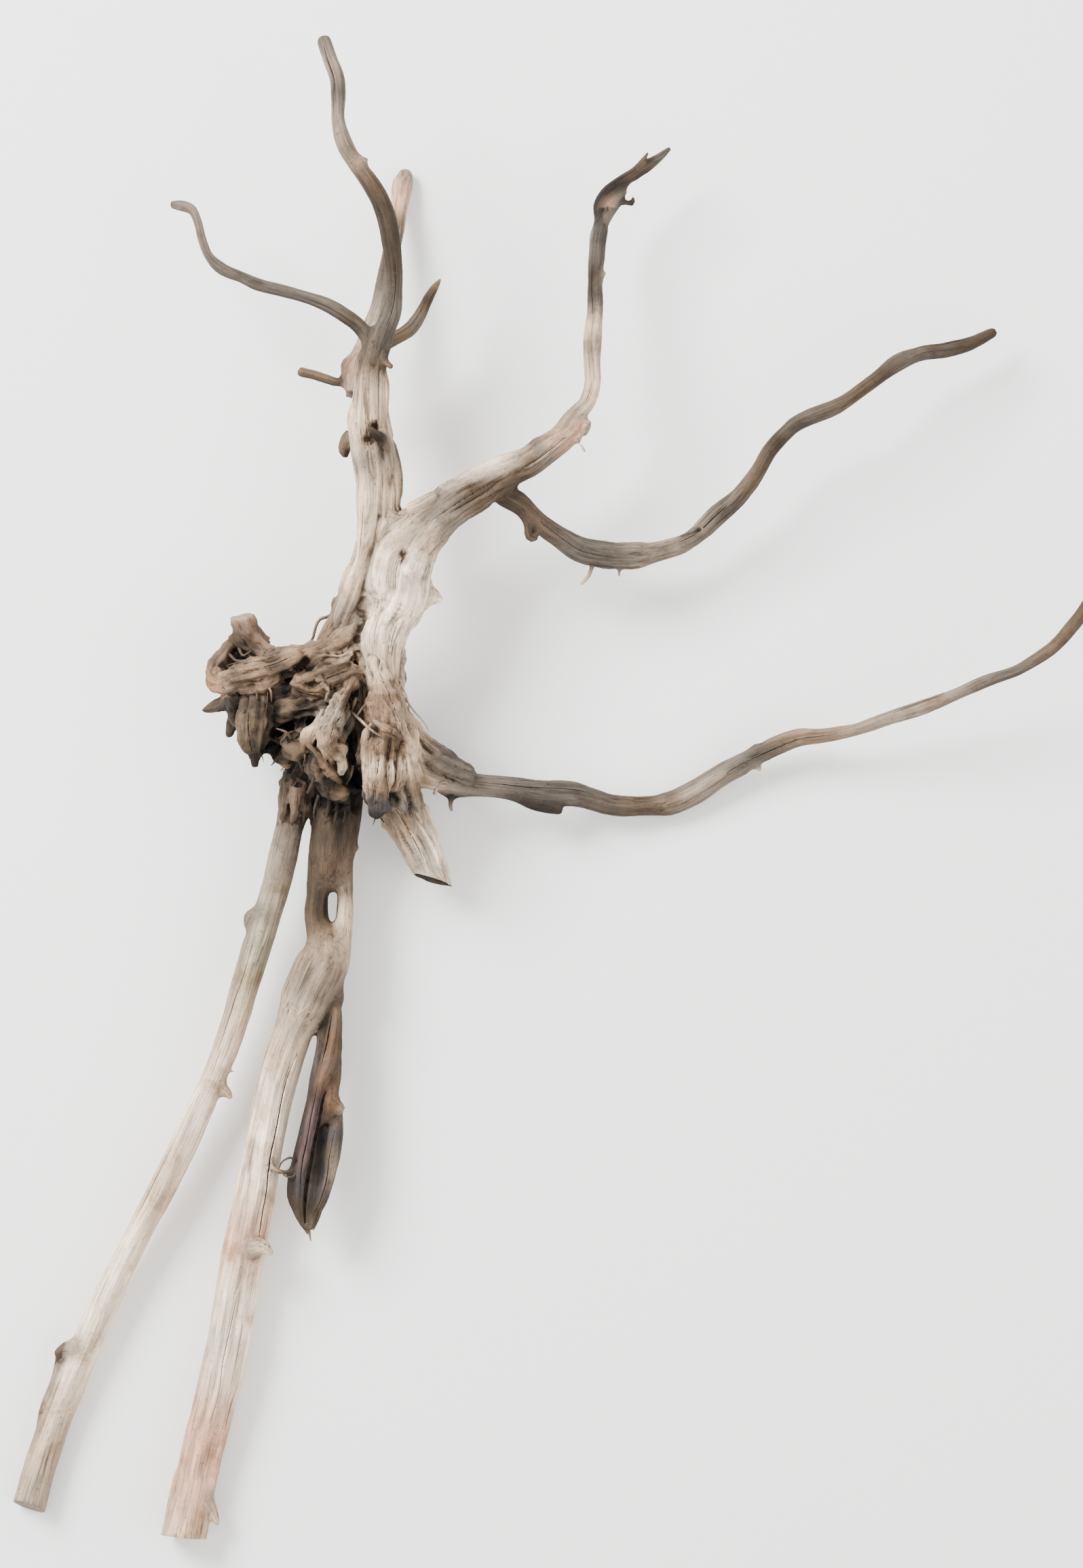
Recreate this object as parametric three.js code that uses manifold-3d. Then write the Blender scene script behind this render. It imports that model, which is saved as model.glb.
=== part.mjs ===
// A weathered piece of driftwood: an uprooted sapling with two sawn stems, a knotted root ball,
// a twisted trunk and long bare roots. It lies on a flat surface at z = 0 and grew as one piece.
// Millimetres, +Z up. The two stems run towards -Y and the long roots towards +Y and +X.
// The origin is on the surface, under the middle of the outline.
//
// Run with Node 22 and the npm packages three and manifold-3d.

import * as THREE from 'three';
import { mergeVertices } from 'three/addons/utils/BufferGeometryUtils.js';
import Module from 'manifold-3d';

// How finely a limb is made
const LIMB_SIDES = 8;
const RING_STEP = 18;
const SMALLEST_RING_COUNT = 2;
// Weathered wood isn't round: three soft ribs run along each limb and twist slowly
const RIB_COUNT = 3;
const RIB_DEPTH = 0.05;
const RIB_TWIST = 0.02;

// The surface wears a small flat on every spot that the piece stands on
const REST_HEIGHT = 0;
const WORN_BLOCK = 100;
const WORN_BLOCK_WIDTH = 2000;

// The split right through the right stem
const SPLIT_CENTRE = [-167, -80, 42];
const SPLIT_HALF_WIDTH = 4;
const SPLIT_HALF_LENGTH = 10.5;
const SPLIT_DEPTH = 80;

// Every limb is a list of stations [x, y, height of the centre, radius], from its root to its tip.

// The two sawn stems, which taper the wrong way round: they were the thick end of the plant
const STEMS = {
  left: [
    [-188, 18, 46, 10], [-197, -14, 44, 11], [-204, -42, 42, 11.5], [-217, -92, 38, 11.5],
    [-239, -163, 33, 11], [-271, -240, 27, 10.5], [-321, -342, 19, 11], [-368, -445, 11.5, 12],
    [-386, -496, 10, 12], [-396, -530, 10, 12],
  ],
  leftKnot: [[-218, -85, 40, 8], [-228, -88, 38, 5.5], [-230, -95, 37, 4]],
  leftSpur: [[-257, -213, 32, 7], [-248, -218, 30, 5.5], [-243, -223, 29, 2]],
  leftKnob: [[-360, -411, 18, 8], [-370, -413, 16, 5], [-374, -416, 15, 4]],
  leftRing: [[-372, -457, 14, 9], [-383, -458, 13, 5.5]],
  right: [
    [-160, 33, 44, 19], [-164, -12, 44, 19], [-169, -72, 42, 17.5], [-170, -103, 41, 18.5],
    [-176, -128, 39, 20], [-186, -151, 37, 19], [-196, -173, 35, 15], [-211, -219, 32, 14.5],
    [-224, -290, 26, 15.5], [-244, -393, 19, 15.5], [-267, -495, 15, 16], [-279, -550, 14, 17.5],
  ],
  rightKnot: [[-226, -334, 34, 8], [-218, -333, 40, 5.5], [-212, -338, 40, 2]],
  rightFin: [[-264, -522, 18, 7], [-258, -534, 18, 5.5], [-254, -543, 18, 2]],
  rightThorn: [[-155, -34, 46, 5], [-147, -37, 47, 2]],
};

// The half-rotten stump of a third stem, which hangs beside the right one
const ROTTEN_STUMP = {
  body: [
    [-168, -133, 38, 15], [-167, -163, 38, 7.5], [-171, -183, 39, 8.5], [-175, -223, 41, 13.5],
    [-182, -264, 42, 17.5], [-183, -284, 42, 16], [-186, -301, 41, 11.5], [-184, -324, 40, 1.5],
  ],
  knob: [[-168, -224, 42, 8.5], [-161, -230, 42, 4.5]],
  bridge: [[-192, -259, 42, 4], [-203, -265, 44, 3]],
};

// The knotted ball where stems, trunk and roots meet
const ROOT_BALL = {
  core: [[-161, 96, 50, 23], [-175, 71, 46, 26], [-174, 43, 44, 25], [-166, 18, 44, 22]],
  coreFront: [[-158, 90, 66, 17], [-176, 60, 70, 18], [-174, 28, 68, 18]],
  armLeft: [
    [-153, 103, 80, 12], [-177, 99, 84, 10], [-199, 95, 86, 10], [-219, 90, 86, 10.5],
    [-234, 87, 82, 9.5], [-245, 87, 78, 7],
  ],
  armTop: [
    [-175, 102, 66, 8], [-195, 103, 66, 7], [-209, 104, 66, 6], [-219, 112, 66, 7.5],
    [-227, 122, 66, 9.5], [-232, 132, 66, 9.5],
  ],
  armEnd: [
    [-226, 120, 63, 7], [-236, 112, 60, 7], [-245, 105, 57, 6], [-252, 95, 57, 6.5],
    [-250, 86, 63, 7], [-240, 83, 72, 7],
  ],
  spikeLeft: [[-232, 78, 72, 7], [-247, 70, 60, 5.5], [-259, 65, 54, 2.5]],
  spikeDown: [[-234, 78, 74, 7], [-240, 57, 62, 4.5], [-242, 47, 60, 2]],
  wedge: [[-219, 77, 76, 11], [-220, 60, 84, 12], [-221, 43, 84, 10.5], [-220, 32, 80, 6]],
  darkLobe: [[-195, 83, 66, 13], [-205, 66, 70, 13], [-212, 48, 70, 9]],
  brownRidge: [[-149, 95, 78, 12], [-167, 87, 86, 12], [-181, 81, 90, 9.5], [-190, 85, 93, 6]],
  curl: [
    [-151, 82, 86, 10], [-157, 64, 98, 11.5], [-165, 49, 106, 11], [-168, 36, 108, 9],
    [-161, 27, 108, 5.5],
  ],
  block: [[-169, 32, 86, 12], [-170, 19, 88, 13.5], [-172, 10, 86, 9.5]],
  roughSide: [[-187, 45, 70, 12], [-198, 37, 72, 10], [-209, 31, 72, 5]],
  front: [
    [-125, 70, 84, 11], [-126, 55, 88, 15], [-126, 38, 90, 17.5], [-127, 16, 90, 16.5],
    [-130, -1, 86, 11.5], [-132, -9, 82, 5.5],
  ],
  collar: [[-185, 28, 50, 13], [-193, 8, 48, 12.5], [-196, -11, 46, 12]],
  splinters: [[-158, 13, 62, 13], [-164, -4, 68, 6.5], [-170, -18, 70, 1.5]],
  heel: [
    [-130, 28, 60, 17], [-119, 3, 50, 17.5], [-110, -19, 42, 15], [-101, -37, 35, 13],
    [-89, -62, 27, 11.5],
  ],
  heelLip: [[-94, -56, 30, 9], [-81, -67, 26, 4.5]],
};

// The trunk above the ball, which is two strands grown together
const TRUNK = {
  leftStrand: [
    [-168, 93, 62, 17], [-156, 121, 66, 16], [-144, 152, 70, 15.5], [-135, 181, 74, 16],
    [-130, 211, 77, 17.5], [-130, 237, 79, 18.5], [-134, 261, 80, 17], [-136, 286, 82, 14],
    [-136, 306, 84, 13], [-129, 339, 90, 9.5],
  ],
  rightStrand: [
    [-123, 51, 74, 15], [-128, 78, 76, 14.5], [-130, 100, 78, 15.5], [-127, 123, 78, 18],
    [-118, 147, 78, 23], [-115, 170, 78, 24], [-104, 191, 80, 22], [-86, 208, 82, 17],
  ],
  spur: [[-110, 150, 76, 15], [-95, 148, 74, 9], [-86, 146, 72, 3]],
  frontStub: [[-126, 260, 94, 6], [-131, 264, 104, 4.5], [-135, 267, 110, 3]],
  leftKnot: [[-148, 267, 74, 8], [-156, 263, 72, 7], [-158, 256, 71, 6]],
  shoulder: [[-145, 328, 66, 4], [-154, 319, 66, 6.5], [-153, 310, 66, 6], [-148, 300, 68, 6]],
  leftTwig: [[-153, 304, 66, 3.5], [-166, 307, 67, 3], [-179, 311, 69, 3], [-188, 313, 70, 3.5]],
  rightKnob: [[-128, 324, 92, 4.5], [-124, 316, 95, 3.5], [-121, 314, 96, 2.5]],
};

// The roots that run up from the head of the trunk
const TOP_ROOTS = {
  left: [
    [-135, 333, 86, 7.5], [-144, 344, 86, 6], [-156, 353, 87, 5.5], [-184, 366, 88, 5],
    [-218, 375, 86, 4.5], [-245, 387, 82, 4.5], [-254, 396, 80, 4], [-260, 410, 78, 4],
    [-263, 422, 76, 4], [-268, 432, 74, 4], [-282, 436, 70, 3],
  ],
  middle: [
    [-131, 325, 88, 9], [-126, 340, 94, 9.5], [-120, 355, 101, 7.5], [-118, 369, 107, 6],
    [-118, 385, 113, 6.5], [-120, 402, 118, 7.5], [-129, 433, 125, 7.5], [-146, 458, 128, 6.5],
    [-154, 473, 127, 6], [-158, 488, 125, 5.5], [-159, 519, 119, 5.5], [-169, 548, 111, 5],
  ],
  middleKnot: [[-142, 457, 130, 5.5], [-137, 459, 130, 2.5]],
  back: [
    [-146, 295, 70, 11.5], [-144, 315, 64, 12], [-138, 339, 54, 10], [-131, 365, 43, 8],
    [-126, 392, 33, 7.5], [-121, 419, 21, 7.5], [-118, 446, 8, 7.5], [-116, 462, 5, 7.5],
    [-114, 469, 5, 5.5],
  ],
  thorn: [
    [-129, 332, 76, 6], [-118, 338, 71, 5], [-108, 345, 67, 5], [-101, 355, 64, 4.5],
    [-90, 377, 58, 3], [-86, 383, 57, 1],
  ],
};

// The thick limb to the right, cut off short, and the claw-ended root above it
const RIGHT_LIMB = {
  limb: [
    [-112, 187, 80, 21], [-85, 208, 82, 16.5], [-61, 223, 84, 16], [-43, 233, 84, 13.5],
    [-25, 243, 84, 11.5], [-11, 253, 83, 11.5], [3, 263, 82, 10.5], [15, 270, 80, 8.5],
    [20, 271, 79, 6.5],
  ],
  hump: [[-87, 215, 84, 6], [-65, 232, 88, 7], [-40, 244, 90, 7.5], [-24, 252, 88, 4.5]],
  nub: [[-14, 256, 84, 6.5], [-16, 261, 86, 4.5]],
  upperRoot: [
    [5, 266, 82, 10], [13, 279, 82, 8], [22, 289, 80, 6], [26, 302, 77, 6], [26, 337, 70, 6.5],
    [28, 378, 62, 6], [29, 399, 57, 6], [35, 432, 50, 6],
  ],
  claw: [
    [30, 425, 54, 3], [30, 437, 56, 4], [36, 447, 56, 4.5], [45, 454, 54, 5], [55, 460, 52, 5.5],
    [65, 467, 50, 5.5], [74, 473, 48, 3.5], [83, 481, 46, 2],
  ],
  clawFork: [[36, 429, 50, 5.5], [42, 439, 47, 5], [47, 446, 45, 4], [51, 451, 44, 2]],
  hook: [[-26, 211, 74, 5], [-22, 201, 72, 3.5], [-19, 191, 70, 3], [-15, 191, 70, 2]],
};

// The two long roots to the right: one from the limb, one from the ball
const LONG_ROOTS = {
  upper: [
    [-41, 224, 76, 9.5], [-26, 215, 72, 9], [-11, 202, 66, 8], [2, 193, 61, 8.5],
    [15, 184, 58, 9], [32, 180, 52, 9.5], [52, 179, 46, 9.5], [73, 182, 42, 8],
    [91, 188, 40, 7], [105, 196, 40, 7], [118, 208, 42, 7.5], [135, 223, 46, 6.5],
    [147, 239, 50, 6], [160, 261, 55, 6], [172, 273, 58, 6], [187, 281, 60, 6],
    [210, 291, 60, 5], [233, 308, 57, 5], [253, 323, 52, 5.5], [267, 329, 48, 5],
    [289, 333, 40, 5], [309, 339, 34, 5], [325, 347, 29, 3.5],
  ],
  upperNose: [[95, 193, 42, 4.5], [103, 192, 40, 4.5], [105, 189, 39, 2.5]],
  lower: [
    [-116, 28, 60, 15], [-98, 19, 54, 12], [-81, 14, 48, 9.5], [-61, 10, 42, 8],
    [-36, 7, 36, 8], [15, 2, 24, 9], [40, -5, 18, 8], [66, -6, 12, 8.5], [84, -4, 7, 9],
    [102, 4, 8.5, 9], [120, 15, 12, 8.5], [162, 38, 21, 7], [182, 45, 26, 6.5],
    [199, 47, 30, 6], [246, 59, 41, 5.5], [295, 77, 54, 5.5], [317, 87, 61, 5],
    [339, 95, 69, 4.5], [358, 107, 78, 5], [372, 121, 86, 5], [384, 137, 94, 4.5],
    [393, 156, 101, 4], [398, 177, 106, 3.5], [404, 195, 108, 2.5],
  ],
  lowerSide: [
    [-91, 12, 44, 5], [-80, 5, 42, 5.5], [-66, 5, 40, 5], [-50, 5, 38, 3.5], [-33, 2, 36, 4.5],
    [-18, -4, 34, 5], [2, -9, 31, 4],
  ],
  lowerPeg: [[-78, 2, 44, 2.5], [-79, -4, 44, 2.5], [-78, -10, 44, 1]],
};

const WOOD_LOOK = { color: 0xb9ac97, roughness: 0.86, metalness: 0 };

const wasm = await Module();
wasm.setup();

// A closed three.js geometry as a solid that can be joined and cut
function toSolid(geometry) {
  geometry.deleteAttribute('normal');
  geometry.deleteAttribute('uv');
  const merged = mergeVertices(geometry);
  return new wasm.Manifold(new wasm.Mesh({
    numProp: 3,
    vertProperties: merged.getAttribute('position').array,
    triVerts: merged.getIndex().array,
  }));
}

// The finished solid as a three.js geometry again
function toGeometry(solid) {
  const mesh = solid.getMesh();
  const geometry = new THREE.BufferGeometry();
  geometry.setAttribute('position', new THREE.BufferAttribute(mesh.vertProperties, 3));
  geometry.setIndex(new THREE.BufferAttribute(mesh.triVerts, 1));
  geometry.computeVertexNormals();
  return geometry;
}

// The radius part of the way along a limb, where t runs from 0 at the first station to 1
function radiusAt(stations, t) {
  const place = t * (stations.length - 1);
  const before = Math.min(Math.floor(place), stations.length - 2);
  return THREE.MathUtils.lerp(stations[before][3], stations[before + 1][3], place - before);
}

// One limb: a ribbed cylinder bent along a smooth curve through its stations
function makeLimb(stations) {
  const spots = stations.map(([x, y, z]) => new THREE.Vector3(x, y, z));
  const centre = new THREE.CatmullRomCurve3(spots, false, 'centripetal');
  const length = centre.getLength();
  const rings = Math.max(SMALLEST_RING_COUNT, Math.round(length / RING_STEP));
  const frames = centre.computeFrenetFrames(rings, false);
  const limb = new THREE.CylinderGeometry(1, 1, rings, LIMB_SIDES, rings);
  const corners = limb.getAttribute('position');
  for (let i = 0; i < corners.count; i += 1) {
    const ring = Math.round(rings / 2 - corners.getY(i));
    const along = ring / rings;
    const angle = Math.atan2(corners.getZ(i), corners.getX(i));
    const rib = 1 + RIB_DEPTH * Math.sin(RIB_COUNT * angle + RIB_TWIST * along * length);
    const radius = rib * radiusAt(stations, centre.getUtoTmapping(along));
    const spot = centre.getPointAt(along);
    spot.addScaledVector(frames.normals[ring], corners.getX(i) * radius);
    spot.addScaledVector(frames.binormals[ring], corners.getZ(i) * radius);
    corners.setXYZ(i, spot.x, spot.y, spot.z);
  }
  return toSolid(limb);
}

// All limbs of all the groups, grown together into one solid
function growTogether(groups) {
  const limbs = groups.flatMap((group) => Object.values(group)).map(makeLimb);
  return limbs.reduce((grown, limb) => grown.add(limb));
}

// The block below the surface, which takes away what the piece has worn flat
function wornAway() {
  const block = new THREE.BoxGeometry(WORN_BLOCK_WIDTH, WORN_BLOCK_WIDTH, WORN_BLOCK);
  block.translate(0, 0, REST_HEIGHT - WORN_BLOCK / 2);
  return toSolid(block);
}

// The long narrow hole through the right stem, upright and along the stem
function stemSplit() {
  const hole = new THREE.CylinderGeometry(1, 1, SPLIT_DEPTH, 12);
  hole.rotateX(Math.PI / 2);
  hole.scale(SPLIT_HALF_WIDTH, SPLIT_HALF_LENGTH, 1);
  hole.translate(...SPLIT_CENTRE);
  return toSolid(hole);
}

function makeDriftwood() {
  const grown = growTogether([STEMS, ROTTEN_STUMP, ROOT_BALL, TRUNK, TOP_ROOTS, RIGHT_LIMB, LONG_ROOTS]);
  const finished = grown.subtract(wornAway()).subtract(stemSplit());
  const driftwood = new THREE.Mesh(toGeometry(finished), new THREE.MeshStandardMaterial(WOOD_LOOK));
  driftwood.name = 'driftwood';
  return driftwood;
}

const piece = new THREE.Group();
piece.add(makeDriftwood());

export default piece;
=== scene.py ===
# %% [markdown]
# # A weathered piece of driftwood
# The real object is a young tree torn out with its roots and left in water and sun for years.
# Two sawn stems run one way, a knotted root ball sits in the middle, and a twisted trunk and long
# bare roots run the other way. It all grew as one piece, so it is modelled as one skin.
#
# The plan: draw every limb as a curve with its own thickness, fuse all curves into one closed
# skin, soften the joints where limbs grow into each other, carve the grain, grooves and hollows
# into the skin, cut the sawn ends, and add the loose fibres. Colour comes from a procedural
# material that follows each limb's own grain.

# %% Load the frame and the modules
import math

import bmesh
import bpy
import numpy as np
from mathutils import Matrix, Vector
from mathutils.bvhtree import BVHTree


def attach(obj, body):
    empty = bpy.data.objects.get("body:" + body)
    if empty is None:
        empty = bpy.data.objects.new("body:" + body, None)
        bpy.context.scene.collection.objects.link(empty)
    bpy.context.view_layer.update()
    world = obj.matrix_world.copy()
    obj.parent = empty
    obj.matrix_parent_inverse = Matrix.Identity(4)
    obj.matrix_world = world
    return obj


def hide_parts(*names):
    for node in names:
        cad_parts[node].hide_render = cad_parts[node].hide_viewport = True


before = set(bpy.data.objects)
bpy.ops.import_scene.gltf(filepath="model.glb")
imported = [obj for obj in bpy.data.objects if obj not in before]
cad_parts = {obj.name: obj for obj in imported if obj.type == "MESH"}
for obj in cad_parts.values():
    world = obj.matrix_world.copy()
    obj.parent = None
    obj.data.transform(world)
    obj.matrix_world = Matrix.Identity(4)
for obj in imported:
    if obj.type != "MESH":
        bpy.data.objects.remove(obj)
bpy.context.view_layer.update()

# %% [markdown]
# ## Camera
# A piece like this is looked at from straight above, as it lies. A long lens of 85 mm keeps the
# limbs near the lens from looking too large. The distance follows from the lens: the view's
# long side has to show 1.1555 m at the height of the limbs, about 60 mm above the surface.

# %% Put the camera straight above the piece
LENS_MM = 85.0
SENSOR_MM = 36.0
VIEW_LONG_SIDE = 1.1555
LIMB_HEIGHT = 0.060
PIECE_MIDDLE = (-0.0115, 0.0105)
camera_height = LIMB_HEIGHT + VIEW_LONG_SIDE * LENS_MM / SENSOR_MM

camera_data = bpy.data.cameras.new("camera")
camera_data.lens = LENS_MM
camera_data.sensor_width = SENSOR_MM
camera_data.clip_end = 20.0
camera = bpy.data.objects.new("camera", camera_data)
camera.location = (*PIECE_MIDDLE, camera_height)
bpy.context.scene.collection.objects.link(camera)
bpy.context.scene.camera = camera
print("camera height in metres:", round(camera_height, 3))

# %% [markdown]
# ## Floor and light
# The floor is a plain pale sheet, so the outline of every twig stays readable. The light is soft
# and comes from the upper left: a big square lamp is a large soft window, a weaker one opposite
# fills the shadows, and a pale world lifts the rest. Large lamps give soft shadow edges, as a
# cloudy sky does.

# %% Make the floor
FLOOR_REACH = 6.0
FLOOR_DROP = 0.0005


def new_finish(name):
    """A new material, its node tree and its main shader."""
    finish = bpy.data.materials.new(name)
    finish.use_nodes = True
    return finish, finish.node_tree, finish.node_tree.nodes["Principled BSDF"]


floor_mesh = bpy.data.meshes.new("floor")
floor_bm = bmesh.new()
bmesh.ops.create_grid(floor_bm, x_segments=1, y_segments=1, size=FLOOR_REACH)
floor_bm.to_mesh(floor_mesh)
floor_bm.free()
floor = bpy.data.objects.new("floor", floor_mesh)
floor.location = (0, 0, -FLOOR_DROP)
bpy.context.scene.collection.objects.link(floor)

floor_paint, floor_tree, floor_shader = new_finish("floor_paint")
floor_shader.inputs["Base Color"].default_value = (0.9, 0.9, 0.89, 1)
floor_shader.inputs["Roughness"].default_value = 0.8
floor_mesh.materials.append(floor_paint)
print("floor made, its paint has", len(floor_tree.nodes), "nodes")


# %% Hang the lamps
def hang_lamp(name, place, watts, size):
    """A square lamp at place that points at the middle of the piece."""
    lamp_data = bpy.data.lights.new(name, "AREA")
    lamp_data.energy = watts
    lamp_data.size = size
    lamp = bpy.data.objects.new(name, lamp_data)
    lamp.location = place
    lamp.rotation_euler = (Vector((0, 0, 0)) - lamp.location).to_track_quat("-Z", "Y").to_euler()
    bpy.context.scene.collection.objects.link(lamp)


hang_lamp("window", (-2.2, 2.0, 2.4), 400, 1.6)
hang_lamp("fill", (2.2, -0.8, 2.2), 50, 2.4)

world = bpy.data.worlds.new("studio")
world.use_nodes = True
sky = world.node_tree.nodes["Background"]
sky.inputs["Color"].default_value = (1, 0.99, 0.97, 1)
sky.inputs["Strength"].default_value = 1.6
bpy.context.scene.world = world
print("lamps:", [light.name for light in bpy.data.lights])

# %% [markdown]
# ## The limbs
# Each limb is a list of stations: x, y, the height of its centre above the surface, and its
# radius, all in millimetres, from the root of the limb to its tip. The lists are kept in groups
# that match the parts of the plant. Thick swellings, knots and stubs are short limbs of their own.

# %% Write down the stations of every limb
STEMS = {
    "left_stem": [(-188, 18, 46, 10), (-197, -14, 44, 11), (-204, -42, 42, 11.5),
        (-210, -67, 40, 11.5), (-217, -92, 38, 11.5), (-224, -115, 36, 11.5), (-239, -163, 33, 11),
        (-254, -204, 30, 10.5), (-271, -240, 27, 10.5), (-295, -291, 23, 10.5),
        (-321, -342, 19, 11), (-346, -393, 15, 11.5), (-368, -445, 12, 12), (-386, -496, 10.5, 12),
        (-396, -530, 10.5, 12), (-399, -541, 10.5, 12)],
    "left_stem_knot": [(-218, -85, 40, 8), (-228, -88, 38, 5.5), (-230, -95, 37, 4)],
    "left_stem_spur": [(-257, -213, 32, 7), (-248, -218, 30, 5.5), (-243, -223, 29, 2)],
    "left_stem_thorn": [(-250, -205, 34, 2), (-239, -203, 35, 1)],
    "left_stem_knob": [(-360, -411, 18, 8), (-370, -413, 16, 5), (-374, -416, 15, 4)],
    "left_stem_ring": [(-372, -457, 14, 9), (-383, -458, 13, 5.5)],
    "right_stem_top": [(-160, 33, 44, 19), (-164, -12, 44, 19), (-166, -37, 43, 18),
        (-167, -53, 42, 15), (-167, -62, 41, 10)],
    "split_left_strand": [(-171, -32, 42, 14), (-176, -57, 42, 10), (-178, -72, 42, 8),
        (-179, -85, 42, 8.5), (-176, -100, 41, 10), (-173, -115, 40, 13)],
    "split_left_behind": [(-172, -42, 32, 13), (-177, -73, 31, 7.5), (-177, -95, 31, 9),
        (-173, -113, 31, 12)],
    "split_right_strand": [(-163, -37, 42, 13), (-159, -57, 42, 8.5), (-157, -72, 42, 6),
        (-157, -85, 42, 6.5), (-160, -100, 41, 9), (-165, -115, 40, 13)],
    "split_right_behind": [(-164, -42, 32, 12), (-158, -73, 31, 6), (-159, -94, 31, 7.5),
        (-165, -113, 31, 12)],
    "right_stem": [(-168, -97, 40, 6), (-169, -105, 40, 14), (-171, -118, 39, 19),
        (-176, -128, 39, 20), (-186, -151, 37, 19), (-196, -173, 35, 15), (-204, -194, 34, 15),
        (-211, -219, 32, 14.5), (-216, -244, 31, 14.5), (-224, -290, 26, 15.5),
        (-234, -342, 22, 15.5), (-244, -393, 19, 15.5), (-255, -444, 16.5, 15.5),
        (-267, -495, 15, 16), (-279, -550, 14.5, 17), (-281, -559, 14.5, 17)],
    "right_stem_knot": [(-226, -334, 34, 8), (-218, -333, 40, 5.5), (-212, -338, 40, 2)],
    "right_stem_fin": [(-264, -522, 18, 7), (-258, -534, 18, 5.5), (-254, -543, 18, 2)],
    "right_stem_thorn": [(-155, -34, 46, 5), (-147, -37, 47, 2)],
    "left_stem_edge": [(-371, -411, 15, 3), (-378, -440, 14.5, 3.5), (-385, -458, 13.5, 4),
        (-387, -471, 13, 4), (-391, -486, 12.5, 2.5)],
    "right_stem_flare": [(-279, -505, 13.5, 9), (-283, -531, 13, 10), (-286, -553, 12.5, 10),
        (-287, -562, 12.5, 10)],
}
STUMP = {
    "stump": [(-168, -128, 36, 10), (-167, -158, 38, 7), (-171, -178, 38, 8), (-174, -201, 38, 9),
        (-177, -223, 38, 10), (-181, -244, 38, 11), (-184, -264, 38, 12), (-185, -284, 38, 11),
        (-187, -302, 38, 9), (-187, -314, 38, 5.5), (-185, -324, 38, 1.5)],
    "stump_left_edge": [(-176, -173, 42, 3), (-178, -193, 43, 4), (-181, -218, 43, 4.5),
        (-185, -241, 43, 5), (-191, -264, 42, 5), (-195, -281, 42, 5), (-195, -296, 41, 5.5),
        (-191, -310, 40, 4.5), (-187, -318, 40, 2)],
    "stump_slab": [(-173, -200, 46, 4), (-177, -223, 48, 6), (-181, -245, 50, 7),
        (-185, -265, 50, 7), (-188, -286, 48, 6), (-189, -306, 45, 5), (-188, -318, 42, 2.5)],
    "stump_right_slab": [(-163, -233, 42, 5), (-164, -248, 44, 6.5), (-167, -266, 45, 7),
        (-170, -283, 44, 6.5), (-175, -299, 43, 5), (-180, -311, 42, 3.5), (-182, -320, 41, 1.5)],
    "stump_rim": [(-161, -236, 46, 2.5), (-163, -253, 48, 2.5), (-165, -270, 48, 2.5),
        (-167, -281, 46, 2.5), (-171, -292, 44, 2), (-178, -307, 43, 1.5)],
    "stump_strand": [(-163, -155, 44, 4.5), (-165, -178, 46, 6), (-169, -199, 49, 6),
        (-174, -212, 51, 4.5), (-176, -224, 50, 2.5)],
    "stump_second_strand": [(-163, -163, 42, 4.5), (-164, -193, 44, 5.5), (-166, -213, 46, 6),
        (-168, -228, 48, 5.5), (-170, -239, 47, 3.5)],
    "stump_knob": [(-168, -222, 44, 7.5), (-162, -228, 46, 6), (-159, -230, 46, 4)],
    "stump_bridge": [(-190, -272, 44, 3), (-196, -275, 46, 2), (-201, -277, 46, 2),
        (-208, -276, 43, 2), (-213, -272, 40, 2)],
}
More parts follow.
